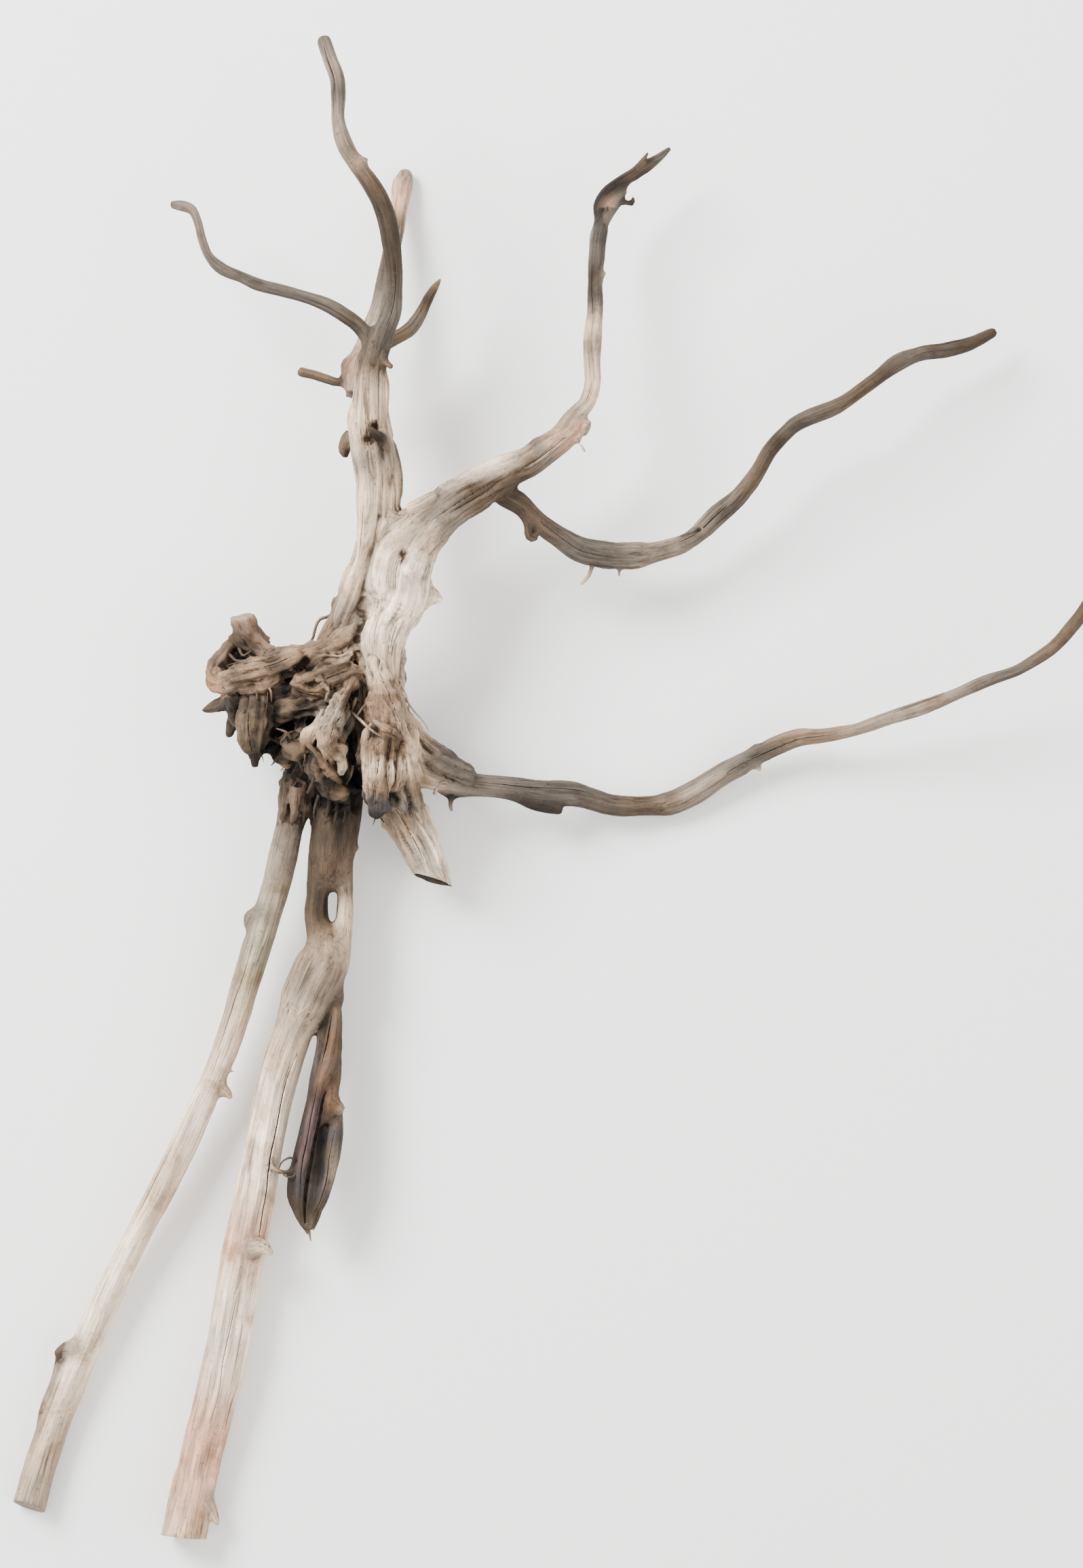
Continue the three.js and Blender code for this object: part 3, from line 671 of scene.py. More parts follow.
# %% A smooth random value for every point
def smooth_random(points, seed):
    """Values from -1 to 1 that change smoothly, with a feature size of 1."""
    cell = np.floor(points).astype(np.int64)
    part = points - cell
    part = part * part * part * (part * (part * 6 - 15) + 10)
    total = np.zeros(len(points))
    for corner in np.ndindex(2, 2, 2):
        x, y, z = (cell + corner).T
        mixed = (x * 73856093 ^ y * 19349663 ^ z * 83492791 ^ (seed * 2654435761)) & 0xFFFFFFFF
        mixed = (mixed ^ (mixed >> 13)) * 1274126177 & 0xFFFFFFFF
        mixed = (mixed ^ (mixed >> 16)) & 0xFFFF
        share = np.prod(np.where(np.array(corner) == 1, part, 1 - part), axis=1)
        total += share * (mixed / 32767.5 - 1)
    return total


print("sample values:", smooth_random(np.array([[0.2, 0.4, 0.6], [3.1, 8.2, 1.7]]), 1).round(3))

# %% Work out how far each point moves
LOBES = dict(across=0.017, along=0.075, share=0.13)
SWELLING = dict(across=0.014, along=0.021, share=0.17)
RIBS = dict(across=0.0058, along=0.070, depth=0.0013)
FURROWS = dict(across=0.0044, along=0.055, depth=0.0011)
FURROW_WIDTH = 0.30
FULL_RELIEF_RADIUS = 0.012
BLEND_WIDTH = 0.006
RUGGED = [
    (STEMS, 0.3), (STUMP, 0.9), (BALL, 1.5), (TRUNK, 1.05), (TOP_ROOTS, 0.85),
    (RIGHT_LIMB, 1.1), (LONG_ROOTS, 0.8), (TWIGS, 0.3),
]
RUGGED_BY_NUMBER = np.concatenate([np.full(len(group), share) for group, share in RUGGED])
UNEVEN = np.array([0.25 if name in STEMS else 1.0 for name in LIMB_NAMES])


def stretched(place, size, limb_number):
    """The place on a limb, measured in features of this size. Each limb gets its own pattern."""
    shift = limb_number[:, None] * np.array([7.31, 3.77, 11.13])
    return place / [size["across"], size["across"], size["along"]] + shift


def grain_height(place, radius, limb_number):
    """How far the bare grain stands out at a place on a limb."""
    thick = np.clip(radius / FULL_RELIEF_RADIUS, 0.15, 1.3) * RUGGED_BY_NUMBER[limb_number]
    lobes = smooth_random(stretched(place, LOBES, limb_number), 3) * LOBES["share"] * radius
    swelling = smooth_random(stretched(place, SWELLING, limb_number), 13)
    swelling = swelling * SWELLING["share"] * radius * UNEVEN[limb_number]
    ribs = smooth_random(stretched(place, RIBS, limb_number), 5) * RIBS["depth"] * thick
    edge = np.abs(smooth_random(stretched(place, FURROWS, limb_number), 9))
    furrows = -np.clip(1 - edge / FURROW_WIDTH, 0, 1) * FURROWS["depth"] * thick
    return lobes + swelling + ribs + furrows


def share_of_second(gap):
    """How much the second nearest limb counts at each point, up to one half."""
    return 0.5 * np.clip(1 - (gap[:, 1] - gap[:, 0]) / BLEND_WIDTH, 0, 1)


limb, gap, place, fraction, radius = place_on_limbs(skin_points)
second_share = share_of_second(gap)
height = grain_height(place[:, 0], radius[:, 0], limb[:, 0]) * (1 - second_share)
height += grain_height(place[:, 1], radius[:, 1], limb[:, 1]) * second_share
print("grain from", round(height.min() * MM, 2), "to", round(height.max() * MM, 2), "mm")

# %% [markdown]
# ## Hollows
# Rot and broken side roots leave holes: one inside the ring at the ball's left end, a deep
# cleft down the ball's middle, a knot hole in the trunk and more. Each is a short line with a
# width and a depth, and the skin is pushed in along its own normal, most in the middle. Later the
# same lines paint shade into the holes, through the hollow attribute, which makes them dark.

# %% Push the hollows in
HOLLOWS = [
    # label, the line's ends, width and depth, all in mm
    ("ring hole", [(-232, 106, 66), (-226, 101, 66)], 8.5, 4.5),
    ("middle cleft", [(-147, 74, 92), (-150, 55, 84), (-155, 40, 80)], 6.0, 9),
    ("left pocket", [(-190, 58, 84), (-200, 46, 80), (-207, 34, 78)], 8.0, 6),
    ("under the block", [(-178, -2, 70), (-160, -8, 68)], 6.0, 9),
    ("beside the block", [(-148, 14, 66), (-146, -6, 62)], 5.5, 9),
    ("arm slit", [(-199, 89, 90), (-183, 101, 88)], 3.0, 6),
    ("trunk knot hole", [(-112, 177, 100), (-111, 173, 100)], 3.6, 3),
    ("lobe hole", [(-118, -2, 92), (-119, 1, 92)], 3.5, 6),
    ("hollow behind the front stub", [(-132, 270, 96), (-137, 262, 94)], 4.5, 6),
    ("trunk groove", [(-130, 205, 92), (-141, 160, 88), (-146, 120, 84), (-152, 102, 80)], 2.6, 1.6),
    ("root furrow", [(92, 196, 48), (104, 199, 48)], 2.2, 4),
]


FLATTER = np.array([1.0, 1.0, 0.45])
SOFT_EDGE = 1.6


def line_distance(points, ends):
    """The distance from each point to a line through the ends. Height counts for less."""
    points = points * FLATTER
    ends = np.array(ends, float) / MM * FLATTER
    best = np.full(len(points), np.inf)
    for start, stop in zip(ends[:-1], ends[1:]):
        leg = stop - start
        t = np.clip(((points - start) @ leg) / (leg @ leg), 0, 1)
        best = np.minimum(best, np.linalg.norm(points - start - t[:, None] * leg, axis=1))
    return best


for label, ends, width, depth in HOLLOWS:
    near = np.clip(1 - line_distance(skin_points, ends) / (width / MM * SOFT_EDGE), 0, 1)
    near = near * near * (3 - 2 * near)
    height -= near * depth / MM
    print(label, "pushes", int((near > 0.1).sum()), "points")

# %% Move the skin
BALL_CENTRE = np.array([-0.170, 0.060, 0.080])
BALL_RADIUS = 0.110
FLAKES = dict(across=0.0075, along=0.024, depth=0.0050)
FLAKE_MIDDLE = 0.35
LUMPS = [(0.015, 21, 0.0024), (0.006, 22, 0.0016), (0.0032, 23, 0.0007)]  # size, seed, height
DEEPEST_SHARE = 0.6
DEEPEST_IN_BALL = 0.016

ball_share = np.clip(1.4 - np.linalg.norm(skin_points - BALL_CENTRE, axis=1) / BALL_RADIUS, 0, 1)
ball_share *= on_limbs(limb[:, 0], BALL)
flakes = np.abs(smooth_random(stretched(place[:, 0], FLAKES, limb[:, 0]), 31))
height += ball_share * (FLAKE_MIDDLE - flakes) * FLAKES["depth"]
for size, seed, tallest in LUMPS:
    height += ball_share * smooth_random(skin_points / size, seed) * tallest
deepest = -DEEPEST_SHARE * np.maximum(radius[:, 0], 0.001) - DEEPEST_IN_BALL * ball_share
height = np.maximum(height, deepest)
skin_points = skin_points + normals(skin) * height[:, None]
skin_points[:, 2] = np.maximum(skin_points[:, 2], 0)
move_points(skin, skin_points)
print("lowest point in mm:", round(float(skin_points[:, 2].min()) * MM, 3))

# %% [markdown]
# ## Fewer faces where the wood is plain
# The fused skin spends as many faces on a straight stem as on the root ball. The Decimate
# modifier in collapse mode removes the faces that say least, and keeps the ribs and the lobes.

# %% Thin the skin out
FACE_TARGET = 172000


def triangle_count(mesh):
    """How many triangles the mesh's faces make."""
    return sum(len(face.vertices) - 2 for face in mesh.polygons)


triangles = triangle_count(skin)
thinned = link("driftwood_skin", skin)
collapse = thinned.modifiers.new("fewer_faces", "DECIMATE")
collapse.ratio = min(1.0, FACE_TARGET / triangles)
skin = applied(thinned)
print("triangles:", triangles, "->", triangle_count(skin))

# %% [markdown]
# ## Sawn and broken ends
# The stems were sawn, and so were the limb on the right and the stub on the ring. A saw leaves a
# flat face with a crisp rim. The heel under the ball broke off straight across, and its end is
# dark and rotten. These limbs were swept a little too long for this. Now a plane cuts each one,
# and the open rim is closed with one face, which gets its own finish later: end grain where it
# was sawn, dark wood where it broke. The plane is tried on the faces near its own end only, so it
# doesn't cut any other limb. Their lists keep a fixed order, because a set of faces comes in a
# different order each run, and the cut would then be closed a little differently.

# %% Cut the ends
SAWN, DARK = 1, 2
CUTS = [
    # label, a spot on the plane, the way it faces, the reach of the cut in mm, the finish
    ("left stem", (-396, -531, 12), (-0.30, -0.88, 0.36), 34, SAWN),
    ("right stem", (-280, -553, 15), (-0.10, -0.985, 0.12), 38, SAWN),
    ("right limb", (22, 269, 78), (0.90, -0.38, 0.22), 11.5, SAWN),
    ("ring stub", (-232, 133, 68), (-0.20, 0.93, 0.30), 16, SAWN),
    ("heel", (-90, -62.5, 27), (-0.26, -0.96, 0.20), 20, DARK),
]

skin_bm = bmesh.new()
skin_bm.from_mesh(skin)
for label, spot, direction, size, finish_slot in CUTS:
    spot = Vector(spot) / MM
    direction = Vector(direction).normalized()
    near = [v for v in skin_bm.verts if (v.co - spot).length < size / MM]
    faces = list(dict.fromkeys(f for v in near for f in v.link_faces))
    edges = list(dict.fromkeys(e for f in faces for e in f.edges))
    around = list(dict.fromkeys(v for f in faces for v in f.verts))
    bmesh.ops.bisect_plane(
        skin_bm, geom=around + edges + faces, dist=WELD_DISTANCE,
        plane_co=spot, plane_no=direction, clear_outer=True,
    )
    rim = [e for e in skin_bm.edges if e.is_boundary]
    caps = bmesh.ops.holes_fill(skin_bm, edges=rim, sides=0)["faces"]
    for cap in caps:
        cap.material_index = finish_slot
        cap.smooth = False
    print(label, "cut with", len(rim), "edges round the rim and", len(caps), "caps")
loose = [v for v in skin_bm.verts if not v.link_faces]
bmesh.ops.delete(skin_bm, geom=loose, context="VERTS")
wires = [e for e in skin_bm.edges if not e.link_faces]
bmesh.ops.delete(skin_bm, geom=wires, context="EDGES")
bmesh.ops.triangulate(skin_bm, faces=[f for f in skin_bm.faces if len(f.verts) > 4])
bmesh.ops.recalc_face_normals(skin_bm, faces=skin_bm.faces)
print("edges that aren't between two faces:", sum(not e.is_manifold for e in skin_bm.edges))
skin_bm.to_mesh(skin)
skin_bm.free()

# %% [markdown]
# ## Drying cracks
# Wood shrinks more round the ring than along the stem, so a drying stem splits in long straight
# cracks that follow the grain. They are crisp, too crisp for pushing points of the skin about.
# So each crack is a thin curve laid on the surface, and a Boolean modifier cuts all of them out
# at once. A ray that is shot at the limb from outside finds the surface under each step. The
# faces the cut leaves behind keep the material slot of the cutter, so they get the crack wood,
# which is painted shade.

# %% Cut the cracks
CRACKS = [
    # limb, start and stop as a share of its length, degrees round it from the top, width in mm
    ("right_stem", 0.20, 0.52, -33, 1.3),
    ("right_stem", 0.58, 0.80, -8, 0.6),
    ("left_stem", 0.22, 0.36, 20, 0.5),
    ("trunk_left", 0.33, 0.50, -30, 0.6),
    ("trunk_left", 0.60, 0.74, -18, 0.6),
    ("trunk_right", 0.30, 0.48, 26, 0.6),
    ("trunk_right", 0.58, 0.78, 2, 0.7),
    ("front_lobe", 0.30, 0.72, -22, 0.8),
    ("heel", 0.25, 0.80, 10, 0.7),
    ("right_limb", 0.16, 0.40, 8, 0.6),
    ("right_limb", 0.62, 0.86, 14, 0.7),
    ("claw_root", 0.55, 0.75, -20, 0.6),
    ("upper_root", 0.08, 0.20, 5, 0.6),
    ("upper_root", 0.34, 0.44, -10, 1.0),
    ("lower_root", 0.10, 0.24, -18, 0.6),
    ("lower_root", 0.42, 0.56, 10, 0.6),
    ("arm_left", 0.45, 0.80, 12, 0.7),
    ("arm_left", 0.30, 0.62, -28, 0.7),
    ("curl", 0.10, 0.75, 14, 0.9),
    ("curl", 0.25, 0.85, -26, 0.8),
    ("brown_ridge", 0.10, 0.80, 0, 0.9),
    ("brown_ridge", 0.30, 0.90, -32, 0.7),
    ("column_ridge", 0.15, 0.55, -12, 0.6),
    ("front_lobe", 0.45, 0.88, 14, 0.7),
    ("wedge", 0.30, 0.85, 18, 0.9),
    ("stump_slab", 0.14, 0.97, -42, 4.6),
    ("stump_slab", 0.10, 0.80, 20, 1.0),
    ("stump_right_slab", 0.15, 0.85, 10, 0.8),
    ("stump_strand", 0.10, 0.60, 55, 2.4),
    ("middle_root", 0.10, 0.30, 6, 0.6),
    ("middle_root", 0.80, 0.97, -20, 0.8),
]
CRACK_STEP = 0.004
WANDER_LENGTH = 0.03
WANDER_DEGREES = 5
RAY_LENGTH = 0.05
SINK = 0.3


def crack_path(tree, limb_name, start, stop, degrees, width):
    """Points and radii of one crack on the surface of a limb."""
    path, radii, at = PATHS[limb_name]
    count = max(4, int((stop - start) * at[-1] / CRACK_STEP))
    places = np.linspace(start, stop, count) * at[-1]
    points = np.column_stack([np.interp(places, at, path[:, axis]) for axis in range(3)])
    tangent = path_frames(points)[0]
    flat = places * 0
    wander = smooth_random(np.column_stack([places / WANDER_LENGTH, flat + degrees, flat]), 41)
    angle = np.radians(degrees + WANDER_DEGREES * wander)[:, None]
    side = np.cross(tangent, [0.0, 0.0, 1.0])
    side /= np.linalg.norm(side, axis=1)[:, None]
    outward = np.cross(side, tangent) * np.cos(angle) + side * np.sin(angle)
    taper = np.sin(np.linspace(0.12, math.pi - 0.12, count)) ** 0.6
    found, kept = [], []
    for point, way, size in zip(points, outward, taper * width / (2 * MM)):
        hit = tree.ray_cast(Vector(point + way * RAY_LENGTH), Vector(-way), RAY_LENGTH)[0]
        if hit is not None:
            found.append(np.array(hit) - way * size * SINK)
            kept.append(size)
    return np.array(found), np.array(kept), None


target = link("driftwood_skin", skin)
surface = BVHTree.FromObject(target, bpy.context.evaluated_depsgraph_get())
crack_paths = [crack_path(surface, *crack) for crack in CRACKS]
crack_paths = [path for path in crack_paths if len(path[0]) > 3]
cutter_mesh = sweep("crack_cutter", crack_paths, 1)
cutter_mesh.materials.clear()
cutter = link("crack_cutter", cutter_mesh)
for mesh in (skin, cutter_mesh):
    for _ in range(3):
        mesh.materials.append(None)
# the crack walls get slot DARK, the crack wood, which is painted shade
for face in cutter_mesh.polygons:
    face.material_index = DARK
split = target.modifiers.new("cracks", "BOOLEAN")
split.operation = "DIFFERENCE"
split.solver = "MANIFOLD"
split.object = cutter
before = len(skin.polygons)
skin = applied(target)
bpy.data.objects.remove(cutter)
print(len(crack_paths), "cracks:", before, "->", len(skin.polygons), "faces,",
      sum(face.material_index == DARK for face in skin.polygons), "of them dark")

# %% [markdown]
# ## Tones of the wood
# Sun bleaches what faces it, water and rot darken the rest, so each limb has its own run of
# tones from its root to its tip. The tones have plain names, and each limb lists a few of them,
# spread evenly along it. A tone is a base colour: how much red, green and blue light it returns.
# Between two tones the colour changes smoothly, and where two limbs meet their tones mix. The
# soot runs of the core, the ball's low parts, the gap fill and the ring floor are painted shade:
# these pieces sit deep in the root ball, and their near-black colour stands for its recesses.

# %% Name the tones
TONES = {
    "bleached": (0.620, 0.500, 0.380),
    "silver": (0.398, 0.293, 0.204),
    "grey": (0.162, 0.126, 0.0945),
    "moss": (0.228, 0.198, 0.134),
    "rose": (0.496, 0.288, 0.197),
    "tan": (0.156, 0.0984, 0.0594),
    "ash": (0.0600, 0.0490, 0.0375),
    "umber": (0.0674, 0.0438, 0.0274),
    "plum": (0.0451, 0.0268, 0.0244),
    "slate": (0.0373, 0.0318, 0.0308),
    "rust": (0.078, 0.0400, 0.0205),
    "bark": (0.0302, 0.0199, 0.0115),
    "soot": (0.0085, 0.0052, 0.0036),
}
LIMB_TONES = {
    "left_stem": "soot grey moss silver bleached silver bleached bleached silver grey",
    "left_stem_ring": "silver tan",
    "left_stem_edge": "umber bark umber bark umber",
    "right_stem_flare": "rose silver grey ash",
    "lower_root_knot": "umber ash umber",
    "lower_root_second_knot": "umber bark",
    "upper_root_knot": "umber ash",
    "left_stem_knob": "umber bark",
    "right_stem_top": "soot bark bark umber",
    "right_stem_thorn": "umber tan",
    "split_left_strand": "bark bark bark bark umber silver",
    "split_left_behind": "bark bark umber silver",
    "split_right_strand": "umber tan grey silver silver silver",
    "split_right_behind": "umber tan silver silver",
    "right_stem": "tan grey silver bleached bleached rose bleached bleached rose rose silver",
    "stump": "umber umber bark umber bark bark soot soot bark bark grey",
    "stump_left_edge": "bark slate slate bark slate bark soot bark umber",
    "stump_slab": "umber plum plum plum plum slate bark bark",
    "stump_right_slab": "umber slate bark slate slate bark umber",
    "stump_rim": "umber slate grey silver umber umber",
    "stump_strand": "umber umber rust umber rust bark",
    "stump_second_strand": "umber bark umber rust umber",
    "stump_knob": "umber tan",
    # painted shade: core, ring_floor, gap_fill and ball_low are near black for the recesses of the
    # root ball
    "core": "soot soot soot soot",
    "column_back": "silver grey umber bark umber",
    "root_flare": "silver silver grey ash ash",
    "ring_floor": "soot soot soot bark",
    "stub_flare": "bark umber umber tan",
    "gap_fill": "soot soot bark",
    "low_web": "umber bark umber bark",
    "collar_tooth_one": "bark umber bark",
    "collar_tooth_two": "umber umber bark",
    "collar_tooth_three": "bark umber bark",
    "shoulder_web": "grey tan umber tan umber",
    "ridge_web": "umber tan umber bark",
    "ball_back": "bark bark bark soot soot",
    "ball_low": "soot soot soot soot",
    "ball_foot": "soot soot bark",
    "arm_under": "slate slate umber tan",
    "wedge_side": "slate moss slate bark soot",
    "crumb_one": "umber bark umber tan",
    "crumb_two": "soot umber tan umber",
    "under_curl": "bark soot bark soot",
    "flap": "bark umber tan bark",
    "lobe_crack_strip": "grey tan umber tan",
    "lobe_strip": "silver tan silver silver slate",
    "ball_top_strand": "silver silver tan umber",
    "ridge_lumps": "umber tan bark",
    "arm_left": "tan umber tan tan umber tan umber tan",
    "arm_top": "silver grey tan tan umber tan",
    "arm_end": "bark umber umber tan rose",
    "spike_left": "soot bark bark",
    "spike_down": "soot soot bark",
    "hang_mid": "bark soot umber",
    "strand_low": "tan silver umber",
    "wedge": "umber bark umber bark soot",
    "dark_lobe": "slate bark soot",
    "brown_mass": "umber umber bark soot",
    "brown_ridge": "tan umber tan umber",
    "pale_stub": "umber bark umber tan",
    "curl": "umber tan grey grey tan bark",
    "curl_lip": "tan silver grey",
    "curl_side": "umber bark bark bark",
    "ribbon": "grey silver tan umber bark",
    "block": "bark soot bark soot",
    "block_strip_one": "umber bark tan bark",
    "block_strip_two": "tan umber bark bark",
    "block_strip_three": "bark umber bark",
    "crumbly_side": "bark soot bark",
    "crumbly_lumps": "umber bark umber",
    "bark_collar": "bark soot bark umber",
    "splinter_fan": "soot soot bark",
    "splinter_fan_back": "soot bark umber",
    "front_lobe": "tan tan tan umber tan silver tan slate soot",
    "front_lobe_knob": "silver grey slate",
    "column_right": "silver silver silver silver",
    "column_ridge": "silver silver tan silver silver tan grey",
    "heel": "grey grey silver bleached bleached",
    "heel_left_edge": "bark umber umber bark",
    "heel_lip": "bark soot",
    "trunk_left": "tan tan grey silver silver silver silver grey silver silver umber umber",
    "trunk_right": "tan silver silver bleached bleached bleached silver grey",
    "trunk_spur": "silver bleached",
    "front_stub": "bark soot bark",
    "trunk_knot": "bark umber bark",
    "peeled_chip": "bark umber",
    "shoulder": "bark bark soot bark",
    "trunk_twig": "bark umber umber",
    "trunk_knob": "bark umber",
    "trunk_nub": "bark soot",
    "left_root": "ash bark ash ash ash ash ash grey grey ash",
    "middle_root": "ash ash ash bark bark bark umber grey grey ash grey ash",
    "back_root": "grey rose silver grey ash umber grey rose grey",
    "thorn_root": "ash umber umber ash umber bark umber tan",
    "right_limb": "silver grey grey umber umber umber grey rose rose",
    "limb_hump": "bleached bleached bleached silver",
    "limb_ridge": "silver grey",
    "limb_nub": "bark bark",
    "claw_web": "grey rose grey umber",
    "claw_root": "grey grey silver silver grey silver ash bark ash ash ash",
    "claw": "soot soot soot soot bark bark ash ash",
    "claw_fork": "grey ash ash bark",
    "claw_peg": "bark bark soot bark",
    "hook": "soot bark bark umber",
    "upper_root": "bark umber ash ash grey grey ash umber bark ash umber bark ash bark bark",
    "lower_root": "silver grey ash ash umber grey ash tan grey grey ash umber bark bark",
    "under_root": "bark soot soot soot soot soot soot bark",
    "under_root_peg": "soot grey",
    "claw_splinter": "bark umber",
    "upper_root_nose": "soot bark",
    "middle_root_knot": "tan grey",
    "left_stem_knot": "bark ash",
    "stump_bridge": "bark umber tan",
}


PLAIN_RUN = "grey silver"


def tone_at(limb_number, fraction):
    """The tone of each point from its limb and its fraction of the way along it."""
    colour = np.zeros((len(limb_number), 3))
    for number in np.unique(limb_number):
        names = LIMB_TONES.get(LIMB_NAMES[number], PLAIN_RUN).split()
        run = np.array([TONES[name] for name in names])
        here = limb_number == number
        for channel in range(3):
            spread = np.linspace(0, 1, len(run))
            colour[here, channel] = np.interp(fraction[here], spread, run[:, channel])
    return colour


print(len(TONES), "tones on", len(LIMB_TONES), "limbs")

# %% [markdown]
# ## Attributes for the material
# The material can't know about limbs, so the skin carries what it needs: the place on the nearest
# two limbs, the share of the second, the tone, and how deep a point sits in a hollow. A point is
# in a hollow when the average of its neighbourhood lies outside it, along its normal. The hollow
# value also grows along the listed hollows, and the material paints shade from it.

# %% Paint the attributes on a mesh
HOLLOW_SCALES = [(3, 0.0007, 0.5), (14, 0.0028, 0.6)]  # rounds, depth that counts as full, strength
SHADE_EDGE = 1.7
DARK_DEPTH = 7


def add_attribute(mesh, name, kind, values):
    """A named attribute on the mesh's points."""
    attribute = mesh.attributes.new(name, kind, "POINT")
    field = {"FLOAT": "value", "FLOAT_VECTOR": "vector", "FLOAT_COLOR": "color"}[kind]
    attribute.data.foreach_set(field, np.ascontiguousarray(values, dtype=np.float32).ravel())


def hollow_depth(mesh, points, rounds):
    """How far each point lies below the average of its neighbourhood, in metres."""
    around = smoothed(mesh, points, np.ones(len(points)), rounds)
    return ((around - points) * normals(mesh)).sum(1)


def paint(mesh):
    """Gives the mesh the attributes that the wood material reads."""
    points = coordinates(mesh)
    limb, gap, place, fraction, radius = place_on_limbs(points)
    share = share_of_second(gap)
    tone = tone_at(limb[:, 0], fraction[:, 0]) * (1 - share)[:, None]
    tone += tone_at(limb[:, 1], fraction[:, 1]) * share[:, None]
    # painted shade: the hollow value, from the depth at two scales and along the listed hollows,
    # darkens the wood
    hollow = np.zeros(len(points))
    for rounds, full_depth, strength in HOLLOW_SCALES:
        hollow += np.clip(hollow_depth(mesh, points, rounds) / full_depth, -1, 1) * strength
    for _, ends, width, depth in HOLLOWS:
        near = 1.15 - line_distance(points, ends) / (width / MM * SHADE_EDGE)
        hollow += np.clip(near, 0, 1) * min(depth / DARK_DEPTH, 1.3)
    add_attribute(mesh, "grain_place", "FLOAT_VECTOR", place[:, 0])
    add_attribute(mesh, "grain_place_other", "FLOAT_VECTOR", place[:, 1])
    add_attribute(mesh, "other_share", "FLOAT", share)
    add_attribute(mesh, "hollow", "FLOAT", np.clip(hollow, -1, 1.4))
    add_attribute(mesh, "tone", "FLOAT_COLOR", np.column_stack([tone, np.ones(len(points))]))
    return len(points)


print("painted", paint(skin), "points of the skin")

# %% [markdown]
# ## The wood material
# Close up, driftwood is a bundle of fibres: fine light and dark lines along the limb, wider
# bands where the weather took more, and thin dark drying checks. All of them are noise textures
# on the limb's own coordinates, stretched along the grain. They sit in one node group, which is
# used twice, for the nearest limb and the second nearest, and the results are mixed. Stains are
# noise in all directions. The hollow attribute paints shade into the hollows and creases, and
# makes the points that stand out lighter.

# %% Helpers for node trees
def add_node(tree, kind, **settings):
    """A node of this kind. Names of inputs set their values, and other names set properties."""
    node = tree.nodes.new(kind)
    for name, value in settings.items():
        if name.startswith("in_"):
            node.inputs[int(name[3:])].default_value = value
        else:
            setattr(node, name, value)
    return node


def ramp(tree, factor, *stops):
    """A colour ramp fed by factor. Each stop is (position, grey value)."""
    node = add_node(tree, "ShaderNodeValToRGB")
    while len(node.color_ramp.elements) < len(stops):
        node.color_ramp.elements.new(0.5)
    for element, (position, value) in zip(node.color_ramp.elements, stops):
        element.position = position
        element.color = (value, value, value, 1)
    tree.links.new(factor, node.inputs[0])
    return node.outputs[0]


def math_node(tree, operation, one, other):
    """A math node on two sockets or numbers."""
    node = add_node(tree, "ShaderNodeMath", operation=operation)
    for socket, value in zip(node.inputs, (one, other)):
        if isinstance(value, (int, float)):
            socket.default_value = value
        else:
            tree.links.new(value, socket)
    return node.outputs[0]


def mix_colour(tree, blend, factor, one, other):
    """A colour mix node on sockets, numbers or colours."""
    node = add_node(tree, "ShaderNodeMix", data_type="RGBA", blend_type=blend)
    factor_in, one_in, other_in = (node.inputs[number] for number in (0, 6, 7))
    for socket, value in ((factor_in, factor), (one_in, one), (other_in, other)):
        if isinstance(value, (int, float, tuple)):
            socket.default_value = value
        else:
            tree.links.new(value, socket)
    return node.outputs[2]


def noise(tree, vector, scale, detail, roughness=0.55):
    """A noise texture on a vector, with its own scale along each axis."""
    stretch = add_node(tree, "ShaderNodeMapping")
    stretch.inputs["Scale"].default_value = scale
    tree.links.new(vector, stretch.inputs["Vector"])
    texture = add_node(tree, "ShaderNodeTexNoise")
    texture.inputs["Scale"].default_value = 1.0
    texture.inputs["Detail"].default_value = detail
    texture.inputs["Roughness"].default_value = roughness
    tree.links.new(stretch.outputs[0], texture.inputs["Vector"])
    return texture.outputs["Fac"]


def add_bump(tree, shader, height, strength, distance):
    """Fine relief on the shader, from a height socket."""
    bump = add_node(tree, "ShaderNodeBump")
    bump.inputs["Strength"].default_value = strength
    bump.inputs["Distance"].default_value = distance
    tree.links.new(height, bump.inputs["Height"])
    tree.links.new(bump.outputs[0], shader.inputs["Normal"])


print("node helpers ready")

# %% Make the grain group
grain = bpy.data.node_groups.new("wood_grain", "ShaderNodeTree")
grain.interface.new_socket("Place", in_out="INPUT", socket_type="NodeSocketVector")
for output_name in ("Bands", "Fibres", "Checks"):
    grain.interface.new_socket(output_name, in_out="OUTPUT", socket_type="NodeSocketFloat")
grain_in = add_node(grain, "NodeGroupInput").outputs[0]
grain_out = add_node(grain, "NodeGroupOutput")

bands = noise(grain, grain_in, (130, 130, 9), 5)
fibres = noise(grain, grain_in, (950, 950, 28), 3)
checks = noise(grain, grain_in, (420, 420, 11), 2, 0.5)
check_lines = ramp(grain, checks, (0.0, 1), (0.30, 1), (0.35, 0))
for socket, value in zip(grain_out.inputs, (bands, fibres, check_lines)):
    grain.links.new(value, socket)
print("grain group:", len(grain.nodes), "nodes")

# %% Make the wood
wood, tree, shader = new_finish("weathered_wood")


def attribute(tree, name, output="Fac"):
    """An attribute that the skin carries."""
    return add_node(tree, "ShaderNodeAttribute", attribute_name=name).outputs[output]


first = add_node(tree, "ShaderNodeGroup", node_tree=grain)
other = add_node(tree, "ShaderNodeGroup", node_tree=grain)
tree.links.new(attribute(tree, "grain_place", "Vector"), first.inputs[0])
tree.links.new(attribute(tree, "grain_place_other", "Vector"), other.inputs[0])
share = attribute(tree, "other_share")


